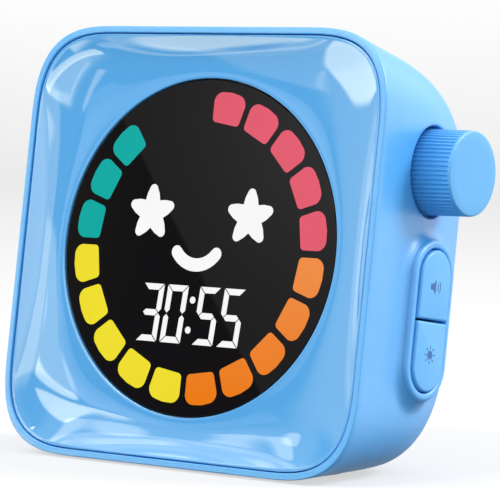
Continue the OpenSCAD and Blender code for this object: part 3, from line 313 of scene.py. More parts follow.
# The case is moulded in one piece from satin light blue ABS: a rounded square box, open at
# the front, with a raised bead round the buttons and a round well for the knob. It leans
# back seven degrees, so that its bottom wall lies level on the rubber pad.
lean = (Matrix.Translation((0, -0.0094, 0.044073)) @ Matrix.Rotation(math.radians(-7), 4, "X")
        @ Matrix.Scale(0.001, 4))
half_w, half_h, case_depth = 44.25, 43.9, 42.4
side_slope, stand_slope = math.tan(math.radians(4)), math.tan(math.radians(7))
corner_reach, corner_power, corner_growth, inset_share = 20.5, 3, 0.5, 0.8
back_round, back_draw = 25.5, 7.8
foot_round, foot_draw = 16, 13.5
wall, rim = 2.2, 1.35
corner_steps, flat_steps = 18, 12
diagonal = 0.5 ** (1 / corner_power)
patch_front, patch_back, patch_low, patch_high = 6, 34, -31, 30.5
side_steps = 50


def drawn_in(y, depth, amount):
    t = min(1, max(0, (y - case_depth + depth) / depth))
    return amount * (1 - math.sqrt(1 - t * t))


def case_reach(y):
    return corner_reach + corner_growth * drawn_in(y, back_round, back_draw)


def case_half_x(y):
    return half_w - y * side_slope - drawn_in(y, back_round, back_draw)


def case_top(y):
    return half_h - y * stand_slope - drawn_in(y, back_round, back_draw)


def case_foot(y):
    return half_h - y * stand_slope - drawn_in(y, foot_round, foot_draw)


def curve(share):
    """How far a corner still reaches out on one side at a share of its reach on the other."""
    return (1 - share ** corner_power) ** (1 / corner_power)


def wall_x(y, z):
    reach = case_reach(y)
    edge = (case_top(y) if z > 0 else case_foot(y)) - reach
    over = max(0, abs(z) - edge) / reach
    return case_half_x(y) - reach * (1 - curve(over))


def corner(first):
    """Points of a corner curve from a share of its reach on one side to the middle of the top."""
    points = []
    for i in range(corner_steps + 1):
        b = first + (diagonal - first) * i / corner_steps
        points.append((curve(b), b))
    for i in range(1, corner_steps + 1):
        a = diagonal * (1 - i / corner_steps)
        points.append((a, curve(a)))
    return points


def square_ring(half, top, foot, reach, high=None, low=None):
    """The outline anticlockwise from the foot of its right side. high and low are heights on
    the side walls between which the points lie at even steps."""
    above = 0 if high is None else (high - top + reach) / reach
    below = 0 if low is None else (-low - foot + reach) / reach
    high = top - reach if high is None else high
    low = reach - foot if low is None else low
    upper, lower = corner(above), corner(below)
    side = []
    for i in range(1, side_steps):
        z = low + (high - low) * i / side_steps
        edge = (top if z > 0 else foot) - reach
        over = max(0, abs(z) - edge) / reach
        side.append((half - reach * (1 - curve(over)), z))
    right_up = [(half - reach + reach * a, top - reach + reach * b) for a, b in upper]
    right_down = [(half - reach + reach * a, reach - foot - reach * b) for a, b in lower]
    right = right_down[::-1] + side + right_up
    flat = [(half - reach) * (1 - i / flat_steps) for i in range(1, 2 * flat_steps)]
    left = [(-x, z) for x, z in right[::-1]]
    return right + [(x, top) for x in flat] + left + [(-x, -foot) for x in flat]


def case_ring(y):
    last = min(y, patch_back)
    reach, tail = case_reach(y), case_reach(last)
    high = case_top(y) - reach + reach * (patch_high - case_top(last) + tail) / tail
    low = -case_foot(y) + reach - reach * (-patch_low - case_foot(last) + tail) / tail
    return [(x, y, z) for x, z in square_ring(case_half_x(y), case_top(y), case_foot(y), reach, high, low)]


def loft(rings, closed=False):
    """Faces that join rings of equal length one after another, with a lid on each end."""
    count = len(rings[0])
    points = [p for ring in rings for p in ring]
    faces = []
    pairs = [(j, (j + 1) % len(rings)) for j in range(len(rings) - (0 if closed else 1))]
    for j, k in pairs:
        for i in range(count):
            m = (i + 1) % count
            faces.append((j * count + i, j * count + m, k * count + m, k * count + i))
    if not closed:
        faces.append(tuple(range(count))[::-1])
        faces.append(tuple(range(len(points) - count, len(points))))
    return points, faces


def joined(parts):
    """One list of points and one of faces from several closed shapes."""
    points, faces = [], []
    for new_points, new_faces in parts:
        faces += [tuple(i + len(points) for i in face) for face in new_faces]
        points += new_points
    return points, faces


def closed_piece(name, points, faces, place=lean):
    """A piece whose doubles are merged and whose faces point outwards."""
    work = bmesh.new()
    made = [work.verts.new(p) for p in points]
    for face in faces:
        work.faces.new([made[i] for i in face])
    bmesh.ops.remove_doubles(work, verts=work.verts, dist=0.0005)
    bmesh.ops.dissolve_degenerate(work, edges=work.edges, dist=0.0001)
    bmesh.ops.recalc_face_normals(work, faces=work.faces)
    work.transform(place)
    mesh = bpy.data.meshes.new(name)
    work.to_mesh(mesh)
    work.free()
    return mesh_piece(name, mesh)


def carve(piece, cutters):
    """Cuts closed pieces out of another and deletes them."""
    for cutter in cutters:
        cut = piece.modifiers.new("cut", "BOOLEAN")
        cut.operation = "DIFFERENCE"
        cut.solver = "EXACT"
        cut.object = cutter
    shown = piece.evaluated_get(bpy.context.evaluated_depsgraph_get())
    mesh = bpy.data.meshes.new_from_object(shown)
    piece.modifiers.clear()
    piece.data = mesh
    for cutter in cutters:
        bpy.data.objects.remove(cutter)
    smooth(mesh)


def circle(radius, middle=(0, 0), steps=96):
    turns = [2 * math.pi * i / steps for i in range(steps)]
    return [(middle[0] + radius * math.cos(t), middle[1] + radius * math.sin(t)) for t in turns]


def round_bar(start, end, radius, middle, across=True, steps=96):
    """A closed cylinder along x with its middle at (y, z), or along y with it at (x, z)."""
    loop = circle(radius, middle, steps)
    if across:
        return loft([[(at, y, z) for y, z in loop] for at in (start, end)])
    return loft([[(x, at, z) for x, z in loop] for at in (start, end)])


control_y, knob_z, side_wall = 20.75, 18.65, 42.799
pill_r, pill_straight, pill_z = 5.05, 8.75, -10.35
pill_gap, rim_outer, pill_fillet, fillet_power = 0.35, 2.1, 3.2, 2.4
rim_top, bead_round, bead_lip = side_wall + 2.5, 0.95, 0.35
well_r, well_floor, well_wall, well_soft = 9.05, side_wall - 6.8, 1.5, 0.5
knob_middle = (control_y, knob_z)
end_steps, straight_steps = 24, 20


def pill_loop(grow):
    """The outline of the two buttons, grown evenly, as depth and height."""
    points = []
    for end in (1, -1):
        for i in range(end_steps + 1):
            turn = math.pi * i / end_steps - math.pi / 2 * end
            points.append((control_y + (pill_r + grow) * math.sin(turn),
                           pill_z + end * pill_straight + (pill_r + grow) * math.cos(turn)))
        for i in range(1, straight_steps):
            y = control_y + end * (pill_r + grow)
            points.append((y, pill_z + end * pill_straight * (1 - 2 * i / straight_steps)))
    return points


def pill_distance(y, z):
    off = max(0, abs(z - pill_z) - pill_straight)
    return math.hypot(y - control_y, off) - pill_r


def bead_x(y, z):
    """The side wall with the bead round the buttons and the soft edge of the well."""
    base = wall_x(y, z)
    out = pill_distance(y, z)
    if out < rim_outer + pill_fillet:
        if out >= rim_outer:
            t = (out - rim_outer) / pill_fillet
            return base + (1 - t) ** fillet_power * (rim_top - bead_round - base)
        if out > rim_outer - bead_round:
            t = (out - rim_outer + bead_round) / bead_round
            return rim_top - bead_round * (1 - math.sqrt(max(0, 1 - t * t)))
        if out < pill_gap + bead_lip:
            t = min(1, (pill_gap + bead_lip - out) / bead_lip)
            return rim_top - bead_lip * (1 - math.sqrt(1 - t * t))
        return rim_top
    far = math.hypot(y - control_y, z - knob_z) - well_r
    if far < well_soft:
        t = min(1, (well_soft - far) / well_soft)
        return base - well_soft * (1 - math.sqrt(1 - t * t))
    return base


def side_patch():
    """The part of the right wall that holds the bead and the well, as triangles."""
    flat, edges = [], []

    def add_loop(loop):
        start = len(flat)
        flat.extend(loop)
        count = len(loop)
        edges.extend((start + i, start + (i + 1) % count) for i in range(count))

    heights = [patch_low + (patch_high - patch_low) * i / side_steps for i in range(side_steps + 1)]
    depths = [y for y in case_rows if patch_front <= y <= patch_back]
    border = [(patch_front, z) for z in heights] + [(y, patch_high) for y in depths[1:-1]]
    border += [(patch_back, z) for z in heights[::-1]] + [(y, patch_low) for y in depths[-2:0:-1]]
    add_loop(border)
    grows = [pill_gap + bead_lip * dropped(a) for a in (0, 25, 50, 90)]
    grows += [rim_outer - bead_round * (1 - sine(a)) for a in (0, 18, 36, 54, 72, 90)]
    grows += [rim_outer + pill_fillet * t for t in (0.06, 0.13, 0.21, 0.3, 0.41, 0.54, 0.68, 0.84)]
    for grow in grows:
        add_loop(pill_loop(grow))
    for a in (0, 30, 60, 90):
        add_loop(circle(well_r + well_soft * dropped(a), knob_middle))
    step = 1.1
    for j in range(1, int((patch_high - patch_low) / step)):
        for i in range(1, int((patch_back - patch_front) / step)):
            y = patch_front + (i + 0.5 * (j % 2)) * step
            z = patch_low + (j + 0.3) * step
            clear = pill_distance(y, z) > grows[-1] + 0.5 * step
            clear = clear and math.hypot(y - control_y, z - knob_z) > well_r + well_soft + 0.5 * step
            if clear and y < patch_back - 0.6 * step and z < patch_high - 0.6 * step:
                flat.append((y, z))
    found = delaunay_2d_cdt([Vector(p) for p in flat], edges, [], 0, 1e-5, False)
    points = [(bead_x(p.x, p.y), p.x, p.y) for p in found[0]]
    faces = []
    for face in found[2]:
        y = sum(found[0][i].x for i in face) / len(face)
        z = sum(found[0][i].y for i in face) / len(face)
        inside_well = math.hypot(y - control_y, z - knob_z) < well_r * 0.998
        if pill_distance(y, z) > pill_gap and not inside_well:
            faces.append(tuple(face))
    return points, faces


rim_edge = 0.4
case_rows = [rim_edge * dropped(a) for a in (0, 30, 60, 90)]
case_rows += [2, 4, patch_front] + [patch_front + 1.4 * i for i in range(1, 8)]
for i in range(1, 31):
    y = case_depth - back_round + back_round * sine(3 * i)
    if abs(y - patch_back) > 0.35:
        case_rows.append(y)
case_rows = sorted(case_rows + [patch_back])
edge_drop = [rim_edge * (1 - sine(a)) for a in (0, 30, 60, 90)]
rings = [case_ring(y) for y in case_rows]
for ring, drop in zip(rings, edge_drop):
    for i, (x, y, z) in enumerate(ring):
        r = math.hypot(x, z)
        ring[i] = (x * (1 - drop / r), y, z * (1 - drop / r))
points, faces = loft(rings)
count = len(rings[0])
first_row, last_row = case_rows.index(patch_front), case_rows.index(patch_back)
side_from = 2 * corner_steps
side_to = side_from + side_steps
kept = []
for number, face in enumerate(faces):
    row, column = divmod(number, count)
    on_patch = first_row <= row < last_row and side_from <= column < side_to
    if not on_patch or number >= count * (len(rings) - 1):
        kept.append(face)
hole_end = 36


def hole_wall(loop, end):
    """The wall of a hole in the side, from the surface to its closed end."""
    points, faces = loft([[(bead_x(y, z), y, z) for y, z in loop], [(end, y, z) for y, z in loop]])
    del faces[-2]
    return points, faces


pill_hole = hole_wall(pill_loop(pill_gap), hole_end)
well_hole = hole_wall(circle(well_r, knob_middle), well_floor)
case = closed_piece("case", *joined([(points, kept), side_patch(), pill_hole, well_hole]))
seat_y, lip_t, lip_inset, back_wall, chamfer = 5.7, 1.5, 3.2, 3.6, 0.12
cover_half, cover_z, cover_reach, cover_ledge, cover_t, cover_gap = 23.5, 3, 15, 2.6, 2, 0.2


def plain_ring(y, inset):
    return [(x, y, z) for x, z in square_ring(case_half_x(y) - inset, case_top(y) - inset,
                                              case_foot(y) - inset, case_reach(y) - inset_share * inset)]


def cover_ring(y, grow):
    half = cover_half + grow
    shape = square_ring(half, half, half, cover_reach + min(grow, 0))
    return [(x, y, z + cover_z) for x, z in shape]


front_ring = plain_ring(0, rim - chamfer)
hollow_rings = [[(x, -1, z) for x, y, z in front_ring], front_ring]
for y, inset in ((chamfer, rim), (seat_y, rim), (seat_y, lip_inset), (seat_y + lip_t, lip_inset)):
    hollow_rings.append(plain_ring(y, inset))
hollow_end, cover_seat = case_depth - back_wall, case_depth - cover_t
for y in (seat_y + lip_t, 12, 16.9, 20, 23, 26, 29, 32, 34, 36, 37.5, hollow_end):
    hollow_rings.append(plain_ring(y, wall))
hollow_rings += [cover_ring(hollow_end, -cover_ledge), cover_ring(cover_seat, -cover_ledge),
                 cover_ring(cover_seat, cover_gap), cover_ring(case_depth + 1, cover_gap)]
hollow = closed_piece("hollow", *loft(hollow_rings))
boss_at, boss_r, boss_start, pilot_r, pilot_start = 17.5, 3, 33.4, 1, 34.8
bush_r, bush_start = 3.6, 30
boss_places = [(i * boss_at, cover_z + j * boss_at) for i in (-1, 1) for j in (-1, 1)]
keep = [round_bar(well_floor - well_wall, 60, well_r + well_wall, knob_middle)]
keep += [round_bar(boss_start, cover_seat, boss_r, place, False, 32) for place in boss_places]
carve(hollow, [closed_piece("keep", *joined(keep))])
bores = [round_bar(bush_start, well_floor + 1, bush_r, knob_middle, steps=48)]
bores += [round_bar(pilot_start, case_depth, pilot_r, place, False, 24) for place in boss_places]
carve(case, [hollow, closed_piece("bores", *joined(bores))])
pocket_x, pocket_y, pocket_round, pocket_steps = 0.022, 0.0055, 0.00515, 12
pocket = []
for z in (-0.001, 0.0012):
    loop = []
    for i, j, start in ((-1, -1, 180), (1, -1, 270), (1, 1, 0), (-1, 1, 90)):
        for k in range(pocket_steps + 1):
            turn = math.radians(90 * k / pocket_steps + start)
            loop.append((i * pocket_x + pocket_round * math.cos(turn),
                         j * pocket_y + pocket_round * math.sin(turn), z))
    pocket.append(loop)
unmoved = Matrix.Identity(4)
carve(case, [closed_piece("pocket", *loft(pocket), place=unmoved)])
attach(case, "case")
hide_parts("main_shell")


def noise(tree, where, scale, detail):
    return add_node(tree, "ShaderNodeTexNoise", {"Vector": where, "Scale": scale, "Detail": detail})["Fac"]


def around(tree, value, middle, spread):
    """A noise turned into a value that mostly lies within a spread of a middle."""
    return maths(tree, "MULTIPLY_ADD", maths(tree, "MULTIPLY_ADD", value, 4, -2), spread, middle)


def tinted(tree, colour, value):
    return add_node(tree, "ShaderNodeHueSaturation", {"Color": colour, "Value": value})["Color"]


def relieved(tree, height, relief):
    """The normal of a surface whose relief is given in millimetres."""
    return add_node(tree, "ShaderNodeBump", {"Distance": relief * 0.001, "Height": height})["Normal"]


def grouped(name, group, values, relief, plain_values):
    """A material with what a node group puts out and with plain values on its shader."""
    material, tree, shader = new_material(name, plain_values)
    made = add_node(tree, "ShaderNodeGroup", values, node_tree=group)
    sockets = {"Color": "Base Color", "Roughness": "Roughness", "Pad": "Metallic"}
    fill(tree, shader, {sockets[output.name]: output for output in made if output.name in sockets})
    fill(tree, shader, {"Normal": relieved(tree, made["Height"], relief)})
    return material


moulding, given, result = new_group(
    "moulded_plastic",
    {"Color": "Color", "Shade": "Float", "Roughness": "Float", "Spread": "Float", "Grain": "Float"},
    {"Color": "Color", "Roughness": "Float", "Height": "Float"})
where = object_place(moulding)
cloud = around(moulding, noise(moulding, where, 26, 3), 1, given["Shade"])
rub = around(moulding, noise(moulding, where, 190, 6), given["Roughness"], given["Spread"])
fill(moulding, result, {"Color": tinted(moulding, given["Color"], cloud), "Roughness": rub,
                        "Height": noise(moulding, where, given["Grain"], 2)})


def moulded(name, colour, roughness, shade=0.02, spread=0.03, grain=2600, relief=0.02, sheen=0.5):
    """Plastic or rubber with a faint cloud in its colour and a fine grain from the mould."""
    values = {"Color": linear(*colour), "Roughness": roughness, "Shade": shade, "Spread": spread,
              "Grain": grain}
    return grouped(name, moulding, values, relief, {"Specular IOR Level": sheen})


case_plastic = moulded("case_plastic", (80, 173, 243), 0.38, sheen=1)
case.data.materials.append(case_plastic)


# The bezel is a separate moulding of the same blue in high gloss: a dish that runs from the
# seam inside the rim down to a round pocket for the display, with a skirt that clips inside.
seam_inset, dish_edge, lip_y = 1.6, 0.15, 2.75
bezel_wall, skirt_y, skirt_t, bezel_edge = 1.8, 5.2, 1.5, 0.45
pocket_r, ledge_r, ledge_y, ledge_back = 33.9, 32.4, 4.9, 6.1
pocket_wall, pocket_lip = 1.6, 0.1
dish_r, dish_power = pocket_r + 0.4, 2.2
seam = square_ring(half_w - seam_inset, half_h - seam_inset, half_h - seam_inset,
                   corner_reach - inset_share * seam_inset)
seam_low = [(x, z) for x, y, z in plain_ring(skirt_y, seam_inset)]


def dish_depth(s):
    return dish_edge + (lip_y - dish_edge) * (1 - (1 - s) ** dish_power)


def dish_ring(s, shift=0.0, edge=0.0):
    ring = []
    for x, z in seam:
        r = math.hypot(x, z)
        span = r - dish_r
        t = min(1, s + edge / span)
        f = 1 - t * span / r
        drop = bezel_edge - math.sqrt(bezel_edge ** 2 - max(0, bezel_edge - t * span) ** 2)
        ring.append((x * f, dish_depth(t) + drop + shift, z * f))
    return ring


def round_ring(r, y):
    return [(x * r / math.hypot(x, z), y, z * r / math.hypot(x, z)) for x, z in seam]


def skirt_ring(y, inset):
    ring = []
    for (x0, z0), (x1, z1) in zip(seam, seam_low):
        t = y / skirt_y
        x, z = x0 + (x1 - x0) * t, z0 + (z1 - z0) * t
        r = math.hypot(x, z)
        ring.append((x * (1 - inset / r), y, z * (1 - inset / r)))
    return ring


rows = [skirt_ring(skirt_y, 0), skirt_ring(2.5, 0), skirt_ring(1, 0)]
rows += [dish_ring(0, edge=bezel_edge * dropped(a)) for a in (0, 20, 40, 60, 80)]
rows += [dish_ring(t / 40, edge=bezel_edge * (1 - t / 40)) for t in range(1, 40)]
rows += [round_ring(dish_r, lip_y), round_ring(pocket_r + pocket_lip, lip_y + 0.03),
         round_ring(pocket_r, lip_y + 0.15), round_ring(pocket_r, ledge_y), round_ring(ledge_r, ledge_y),
         round_ring(ledge_r, ledge_back), round_ring(pocket_r + pocket_wall, ledge_back),
         round_ring(pocket_r + pocket_wall, lip_y + bezel_wall)]
rows += [dish_ring(t / 10, bezel_wall, skirt_t * (1 - t / 10)) for t in range(8, -1, -1)]
rows += [skirt_ring(skirt_y, skirt_t)]
post_at, post_r, post_start, post_end = 29.5, 3, 4.2, 10.3
bezel_parts = [loft(rows, closed=True)]
for i, j in ((-1, -1), (-1, 1), (1, -1), (1, 1)):
    bezel_parts.append(round_bar(post_start, post_end, post_r, (i * post_at, j * post_at), False, 32))
bezel = closed_piece("bezel", *joined(bezel_parts))
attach(bezel, "case")
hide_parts("front_bezel")
bezel_plastic = moulded("bezel_plastic", (92, 176, 239), 0.03, shade=0.012, spread=0.01, relief=0, sheen=1)
bezel.data.materials.append(bezel_plastic)


# A ring of black foam lies between the bezel's skirt and the ledge in the case, and keeps
# dust and splashes out. It is cut from sheet and glued to the skirt.
foam, given, result = new_group("cut_foam", {"Color": "Color", "Cell": "Float"},
                                {"Color": "Color", "Height": "Float"})
fineness = maths(foam, "DIVIDE", 1000, given["Cell"])
pits = add_node(foam, "ShaderNodeTexVoronoi", {"Vector": object_place(foam), "Scale": fineness})["Distance"]
# The colour is darker in the pits: painted shade over their real bump.
shade = maths(foam, "MULTIPLY_ADD", pits, 0.6, 0.75)
fill(foam, result, {"Color": tinted(foam, given["Color"], shade), "Height": pits})


def painted(material, *names):
    for name in names:
        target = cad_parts[name]
        target.data.materials.clear()
        target.data.materials.append(material)


def cellular(name, colour, cell=0.35, relief=0.05):
    """Closed-cell foam, whose cut cells show as fine pits, darkened by painted shade."""
    return grouped(name, foam, {"Color": linear(*colour), "Cell": cell}, relief, {"Roughness": 0.9})


black_foam = cellular("black_foam", (34, 34, 36))
painted(black_foam, "bezel_gasket")


# The display is a round black lens with a clear window for each light, so the ring, the face
# and the digits are windows of tinted resin, flush with the glass. Their glow is painted: the
# resin gives off light of its own in place of the lights behind it. The lens is stuck on a ring
# of tape, over a milky film and a white grid of light wells.
def mixed(tree, share, first, second):
    """One colour that goes over into another."""
    return add_node(tree, "ShaderNodeMix", {0: share, 6: first, 7: second}, data_type="RGBA")[2]


# The windows' glow is painted light: an emission colour, paler towards the top where asked, stands in for the
# lights behind them.
resin, given, result = new_group("painted_glow_resin", {"Color": "Color", "Paler": "Float"}, {"Color": "Color"})
where = object_place(resin)
rise = add_node(resin, "ShaderNodeSeparateXYZ", {0: where})["Z"]
upper = add_node(resin, "ShaderNodeMapRange", {"Value": rise, "From Min": 0.014, "From Max": 0.04})["Result"]
pale = mixed(resin, times(resin, upper, given["Paler"]), given["Color"], (1, 0.75, 0.45, 1))
cloud = around(resin, noise(resin, where, 90, 3), 0.97, 0.025)
fill(resin, result, {"Color": tinted(resin, pale, cloud)})


def lit(name, colour, paler=0.0, strength=0.94):
    """Tinted resin that glows by painted light in place of the lights behind it, paler at the top where
    asked.
    """
    material, tree, shader = new_material(name, {
        "Base Color": linear(*[c * 0.1 for c in colour]), "Roughness": 0.12,
        "Emission Strength": strength, "Specular IOR Level": 0.15})
    made = add_node(tree, "ShaderNodeGroup", {"Color": linear(*colour), "Paler": paler}, node_tree=resin)
    fill(tree, shader, {"Emission Color": made["Color"]})
    return material


lens_black = moulded("lens_black", (19, 17, 19), 0.01, spread=0.004, relief=0, sheen=0.2)
painted(lens_black, "display_lens", "dark_windows")
painted(lit("red_window", (233, 92, 113)), "red_windows")
painted(lit("orange_window", (245, 127, 18), 0.12), "orange_windows")
painted(lit("yellow_window", (247, 230, 48)), "yellow_windows")
painted(lit("green_window", (8, 175, 168)), "green_windows")
painted(lit("white_window", (254, 254, 254), strength=0.96), "face_windows", "digit_windows")
painted(cellular("black_tape", (26, 26, 28), 0.5, 0.02), "lens_adhesive")
painted(moulded("milky_film", (236, 236, 230), 0.35, grain=900, relief=0.01), "diffuser_film")
painted(moulded("white_styrene", (240, 240, 238), 0.5, shade=0.015), "light_grid")


# The boards are green glass-fibre laminate with copper tracks under the mask and rows of
# tinned pads. The display board carries the lights and the main board the chips; each is
# held by four small screws, with hexagonal brass spacers between the two.
tracks, given, result = new_group("printed_board", {}, {"Color": "Color", "Pad": "Float", "Height": "Float"})
where = object_place(tracks)
squares = add_node(tracks, "ShaderNodeTexVoronoi", {"Vector": where, "Scale": 260}, distance="CHEBYCHEV")
ways = maths(tracks, "PINGPONG", times(tracks, squares["Distance"], 9), 1)
track = maths(tracks, "GREATER_THAN", ways, 0.55)
dots = add_node(tracks, "ShaderNodeTexVoronoi", {"Vector": where, "Scale": 420, "Randomness": 0.35})
pad = maths(tracks, "LESS_THAN", dots["Distance"], 0.17)
solder_mask = mixed(tracks, track, linear(24, 92, 52), linear(36, 118, 66))
fill(tracks, result, {"Color": mixed(tracks, pad, solder_mask, linear(205, 205, 200)), "Pad": pad,
                      "Height": maths(tracks, "ADD", track, pad)})
laminate = grouped("green_laminate", tracks, {}, 0.03, {"Roughness": 0.35})
painted(laminate, "display_board", "main_board", "side_board", "usb_board")
painted(moulded("light_resin", (244, 236, 196), 0.25, shade=0.03), "segment_leds", "face_leds", "digit_leds")
painted(moulded("chip_epoxy", (34, 34, 36), 0.6, grain=3500, relief=0.03), "board_chips")
finish, given, result = new_group("worked_metal", {"Color": "Color", "Roughness": "Float", "Drawn": "Vector"},
                                  {"Color": "Color", "Roughness": "Float", "Height": "Float"})
pulled = add_node(finish, "ShaderNodeVectorMath", {0: object_place(finish), 1: given["Drawn"]},
                  operation="MULTIPLY")[0]
streak = noise(finish, pulled, 1500, 4)
fill(finish, result, {"Color": tinted(finish, given["Color"], around(finish, streak, 1, 0.06)),
                      "Roughness": around(finish, streak, given["Roughness"], 0.06), "Height": streak})


def metal(name, colour, roughness, drawn=(1, 1, 1), relief=0.004, metallic=1):
    """Plated, turned or pressed metal with fine marks along the way it was worked."""
    values = {"Color": linear(*colour), "Roughness": roughness, "Drawn": drawn}
    return grouped(name, finish, values, relief, {"Metallic": metallic})


zinc = metal("zinc_plating", (196, 198, 202), 0.3)
painted(zinc, "display_board_screws", "main_board_screws", "usb_board_screws")
painted(metal("turned_brass", (214, 180, 104), 0.28, (1, 0.1, 1)), "board_spacers")


# The knob is turned to set the time and pushed to start it. It is one moulding with fifty-eight
# fine ribs round its barrel and a flat end, and a hub inside it grips the encoder's shaft.
knob_base, knob_tip, knob_cavity = side_wall - 1.2, side_wall + 8.9, 6.9
knob_r, knob_end_r, knob_hub, bore_r, bore_end = 8.45, 8.35, 4.7, 3.05, 50.199
hub_start, cavity_end, rib_count, rib_h = 42.399, 48.699, 58, 0.35
knob_bevel, knob_round, barrel_rows = 0.25, 0.4, 32
barrel_start, barrel_end = knob_base + knob_bevel, knob_tip - knob_round
knob_line = [(bore_end, 0), (bore_end, bore_r), (hub_start, bore_r), (hub_start, knob_hub),
             (cavity_end, knob_hub), (cavity_end, knob_cavity), (knob_base, knob_cavity),
             (knob_base, knob_r - knob_bevel)]
for i in range(barrel_rows + 1):
    t = i / barrel_rows
    knob_line.append((barrel_start + (barrel_end - barrel_start) * t, knob_r + (knob_end_r - knob_r) * t))
for a in (30, 60, 90):
    knob_line.append((barrel_end + knob_round * sine(a), knob_end_r - knob_round * dropped(a)))
knob_line += [(knob_tip, 6), (knob_tip, 3), (knob_tip, 0)]
rib_steps, rib_inner, rib_end, rib_fade = 8, 7.8, knob_tip - 0.55, 0.3
knob_rings = [[(x, y, z) for y, z in circle(r, steps=rib_count * rib_steps)] for x, r in knob_line]
plain_knob = closed_piece("plain_knob", *loft(knob_rings), place=unmoved)
ribs, given, result = new_group(
    "ribbing", {"Geometry": "Geometry", "Ribs": "Float", "Rib Height": "Float", "Inner Radius": "Float",
                "Rib End": "Float", "Fade": "Float", "Finish": "Material"},
    {"Geometry": "Geometry"}, "GeometryNodeTree")
position = add_node(ribs, "GeometryNodeInputPosition", {})[0]
apart = add_node(ribs, "ShaderNodeSeparateXYZ", {0: position})
beside, above = apart["Y"], apart["Z"]
wave = maths(ribs, "SINE", times(ribs, maths(ribs, "ARCTAN2", above, beside), given["Ribs"]))
flat_wave = maths(ribs, "MAXIMUM", maths(ribs, "MINIMUM", times(ribs, wave, 1.6), 1), -1)
groove = times(ribs, maths(ribs, "SUBTRACT", 1, flat_wave), 0.5)
radius = length(ribs, beside, above)
outside = maths(ribs, "GREATER_THAN", radius, given["Inner Radius"])
short = maths(ribs, "SUBTRACT", given["Rib End"], apart["X"])
fading = maths(ribs, "MAXIMUM", maths(ribs, "DIVIDE", short, given["Fade"]), 0)
outside = times(ribs, outside, maths(ribs, "MINIMUM", fading, 1))
sink = times(ribs, times(ribs, groove, given["Rib Height"]), outside)
share = maths(ribs, "DIVIDE", sink, maths(ribs, "MAXIMUM", radius, 0.001))
moved = add_node(ribs, "ShaderNodeCombineXYZ", {
    "Y": times(ribs, times(ribs, beside, share), -1),
    "Z": times(ribs, times(ribs, above, share), -1)})[0]
ribbed = add_node(ribs, "GeometryNodeSetPosition", {"Geometry": given["Geometry"], "Offset": moved})[0]


def made_real(tree, geometry, finish, result):
    """Ends a tree: its instances are made real and given their finish."""
    real = add_node(tree, "GeometryNodeRealizeInstances", {0: geometry})[0]
    paint = add_node(tree, "GeometryNodeSetMaterial", {"Geometry": real, "Material": finish})
    fill(tree, result, {"Geometry": paint[0]})


made_real(ribs, ribbed, given["Finish"], result)


def grown(name, source, tree, values, place=lean, angle=35):
    """The plain mesh that a geometry node tree makes of a piece, put in its place."""
    maker = source.modifiers.new("maker", "NODES")
    maker.node_group = tree
    for item in tree.interface.items_tree:
        if item.item_type == "SOCKET" and item.in_out == "INPUT" and item.name in values:
            maker[item.identifier] = values[item.name]
    shown = source.evaluated_get(bpy.context.evaluated_depsgraph_get())
    mesh = bpy.data.meshes.new_from_object(shown)
    source.modifiers.clear()
    bpy.data.objects.remove(source)
    mesh.transform(place)
    mesh.name = name
    return mesh_piece(name, mesh, angle)


knob_plastic = moulded("knob_plastic", (80, 172, 236), 0.42, sheen=0.8)
knob = grown("knob_cap", plain_knob, ribs,
             {"Ribs": float(rib_count), "Rib Height": rib_h, "Inner Radius": rib_inner, "Rib End": rib_end,
              "Fade": rib_fade, "Finish": knob_plastic},
             lean @ Matrix.Translation((0, *knob_middle)), 50)
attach(knob, "knob")
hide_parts("knob")


# The knob sits on a rotary encoder with a push switch: a pressed steel body with a threaded
# bush, held in the wall by a washer and a nut, on a small upright board.
steel = metal("pressed_steel", (168, 170, 174), 0.34, (0.12, 1, 1))
painted(steel, "encoder_body", "encoder_washer", "encoder_nut")
painted(metal("turned_shaft", (188, 190, 194), 0.26, (1, 0.1, 0.1)), "encoder_shaft")
painted(moulded("pale_acetal", (222, 222, 216), 0.35), "encoder_plunger")


# The two buttons fill the raised bead. Each is a hollow cap with a flat top and a soft edge,
# kept in by a flange behind the wall, and its stem presses a switch on the side board.
button_top, flange_top, flange_t, flange_w = rim_top + 0.45, 39.229, 1.3, 0.9
split, stem_r, stem_end = 0.25, 1.5, 32.699
button_round = 0.45
stem_z, round_steps, side_rows, soft_steps, soft = 6.9, 40, 8, 6, 0.3


def half_pill(side, x, inset):
    """The outline of one button at a distance from the middle plane of the case."""
    r = pill_r - inset
    low = split + max(inset, 0)
    points = []
    for i in range(round_steps + 1):
        turn = math.pi * i / round_steps
        points.append((r * math.cos(turn), pill_straight + r * math.sin(turn)))
    for i in range(1, side_rows + 1):
        points.append((-r, pill_straight + (low + soft - pill_straight) * i / side_rows))
    for i in range(1, soft_steps + 1):
        turn = math.pi / 2 * i / soft_steps
        points.append((-r + soft * (1 - math.cos(turn)), low + soft * (1 - math.sin(turn))))
    for i in range(1, side_rows):
        points.append(((-r + soft) * (1 - 2 * i / side_rows), low))
    for i in range(soft_steps + 1):
        turn = math.pi / 2 * i / soft_steps
        points.append((r - soft * (1 - math.sin(turn)), low + soft * (1 - math.cos(turn))))
    for i in range(1, side_rows):
        points.append((r, low + soft + (pill_straight - low - soft) * i / side_rows))
    return [(x, control_y + y, pill_z + side * z) for y, z in points]


button_plastic = moulded("button_plastic", (90, 180, 246), 0.4, sheen=0.8)


def add_button(name, side, body, node):
    rings = [half_pill(side, flange_top - flange_t, -flange_w), half_pill(side, flange_top, -flange_w),
             half_pill(side, flange_top, 0)]
    for a in (0, 22, 45, 67, 90):
        rings.append(half_pill(side, button_top - button_round * (1 - sine(a)), button_round * dropped(a)))
    stem_at = (control_y, pill_z + side * stem_z)
    stem = round_bar(stem_end, flange_top - 1, stem_r, stem_at, steps=32)
    piece = closed_piece(name, *joined([loft(rings), stem]))
    piece.data.materials.append(button_plastic)
    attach(piece, body)
    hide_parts(node)


add_button("volume_cap", 1, "volume_key", "volume_button")
add_button("light_cap", -1, "light_key", "light_button")


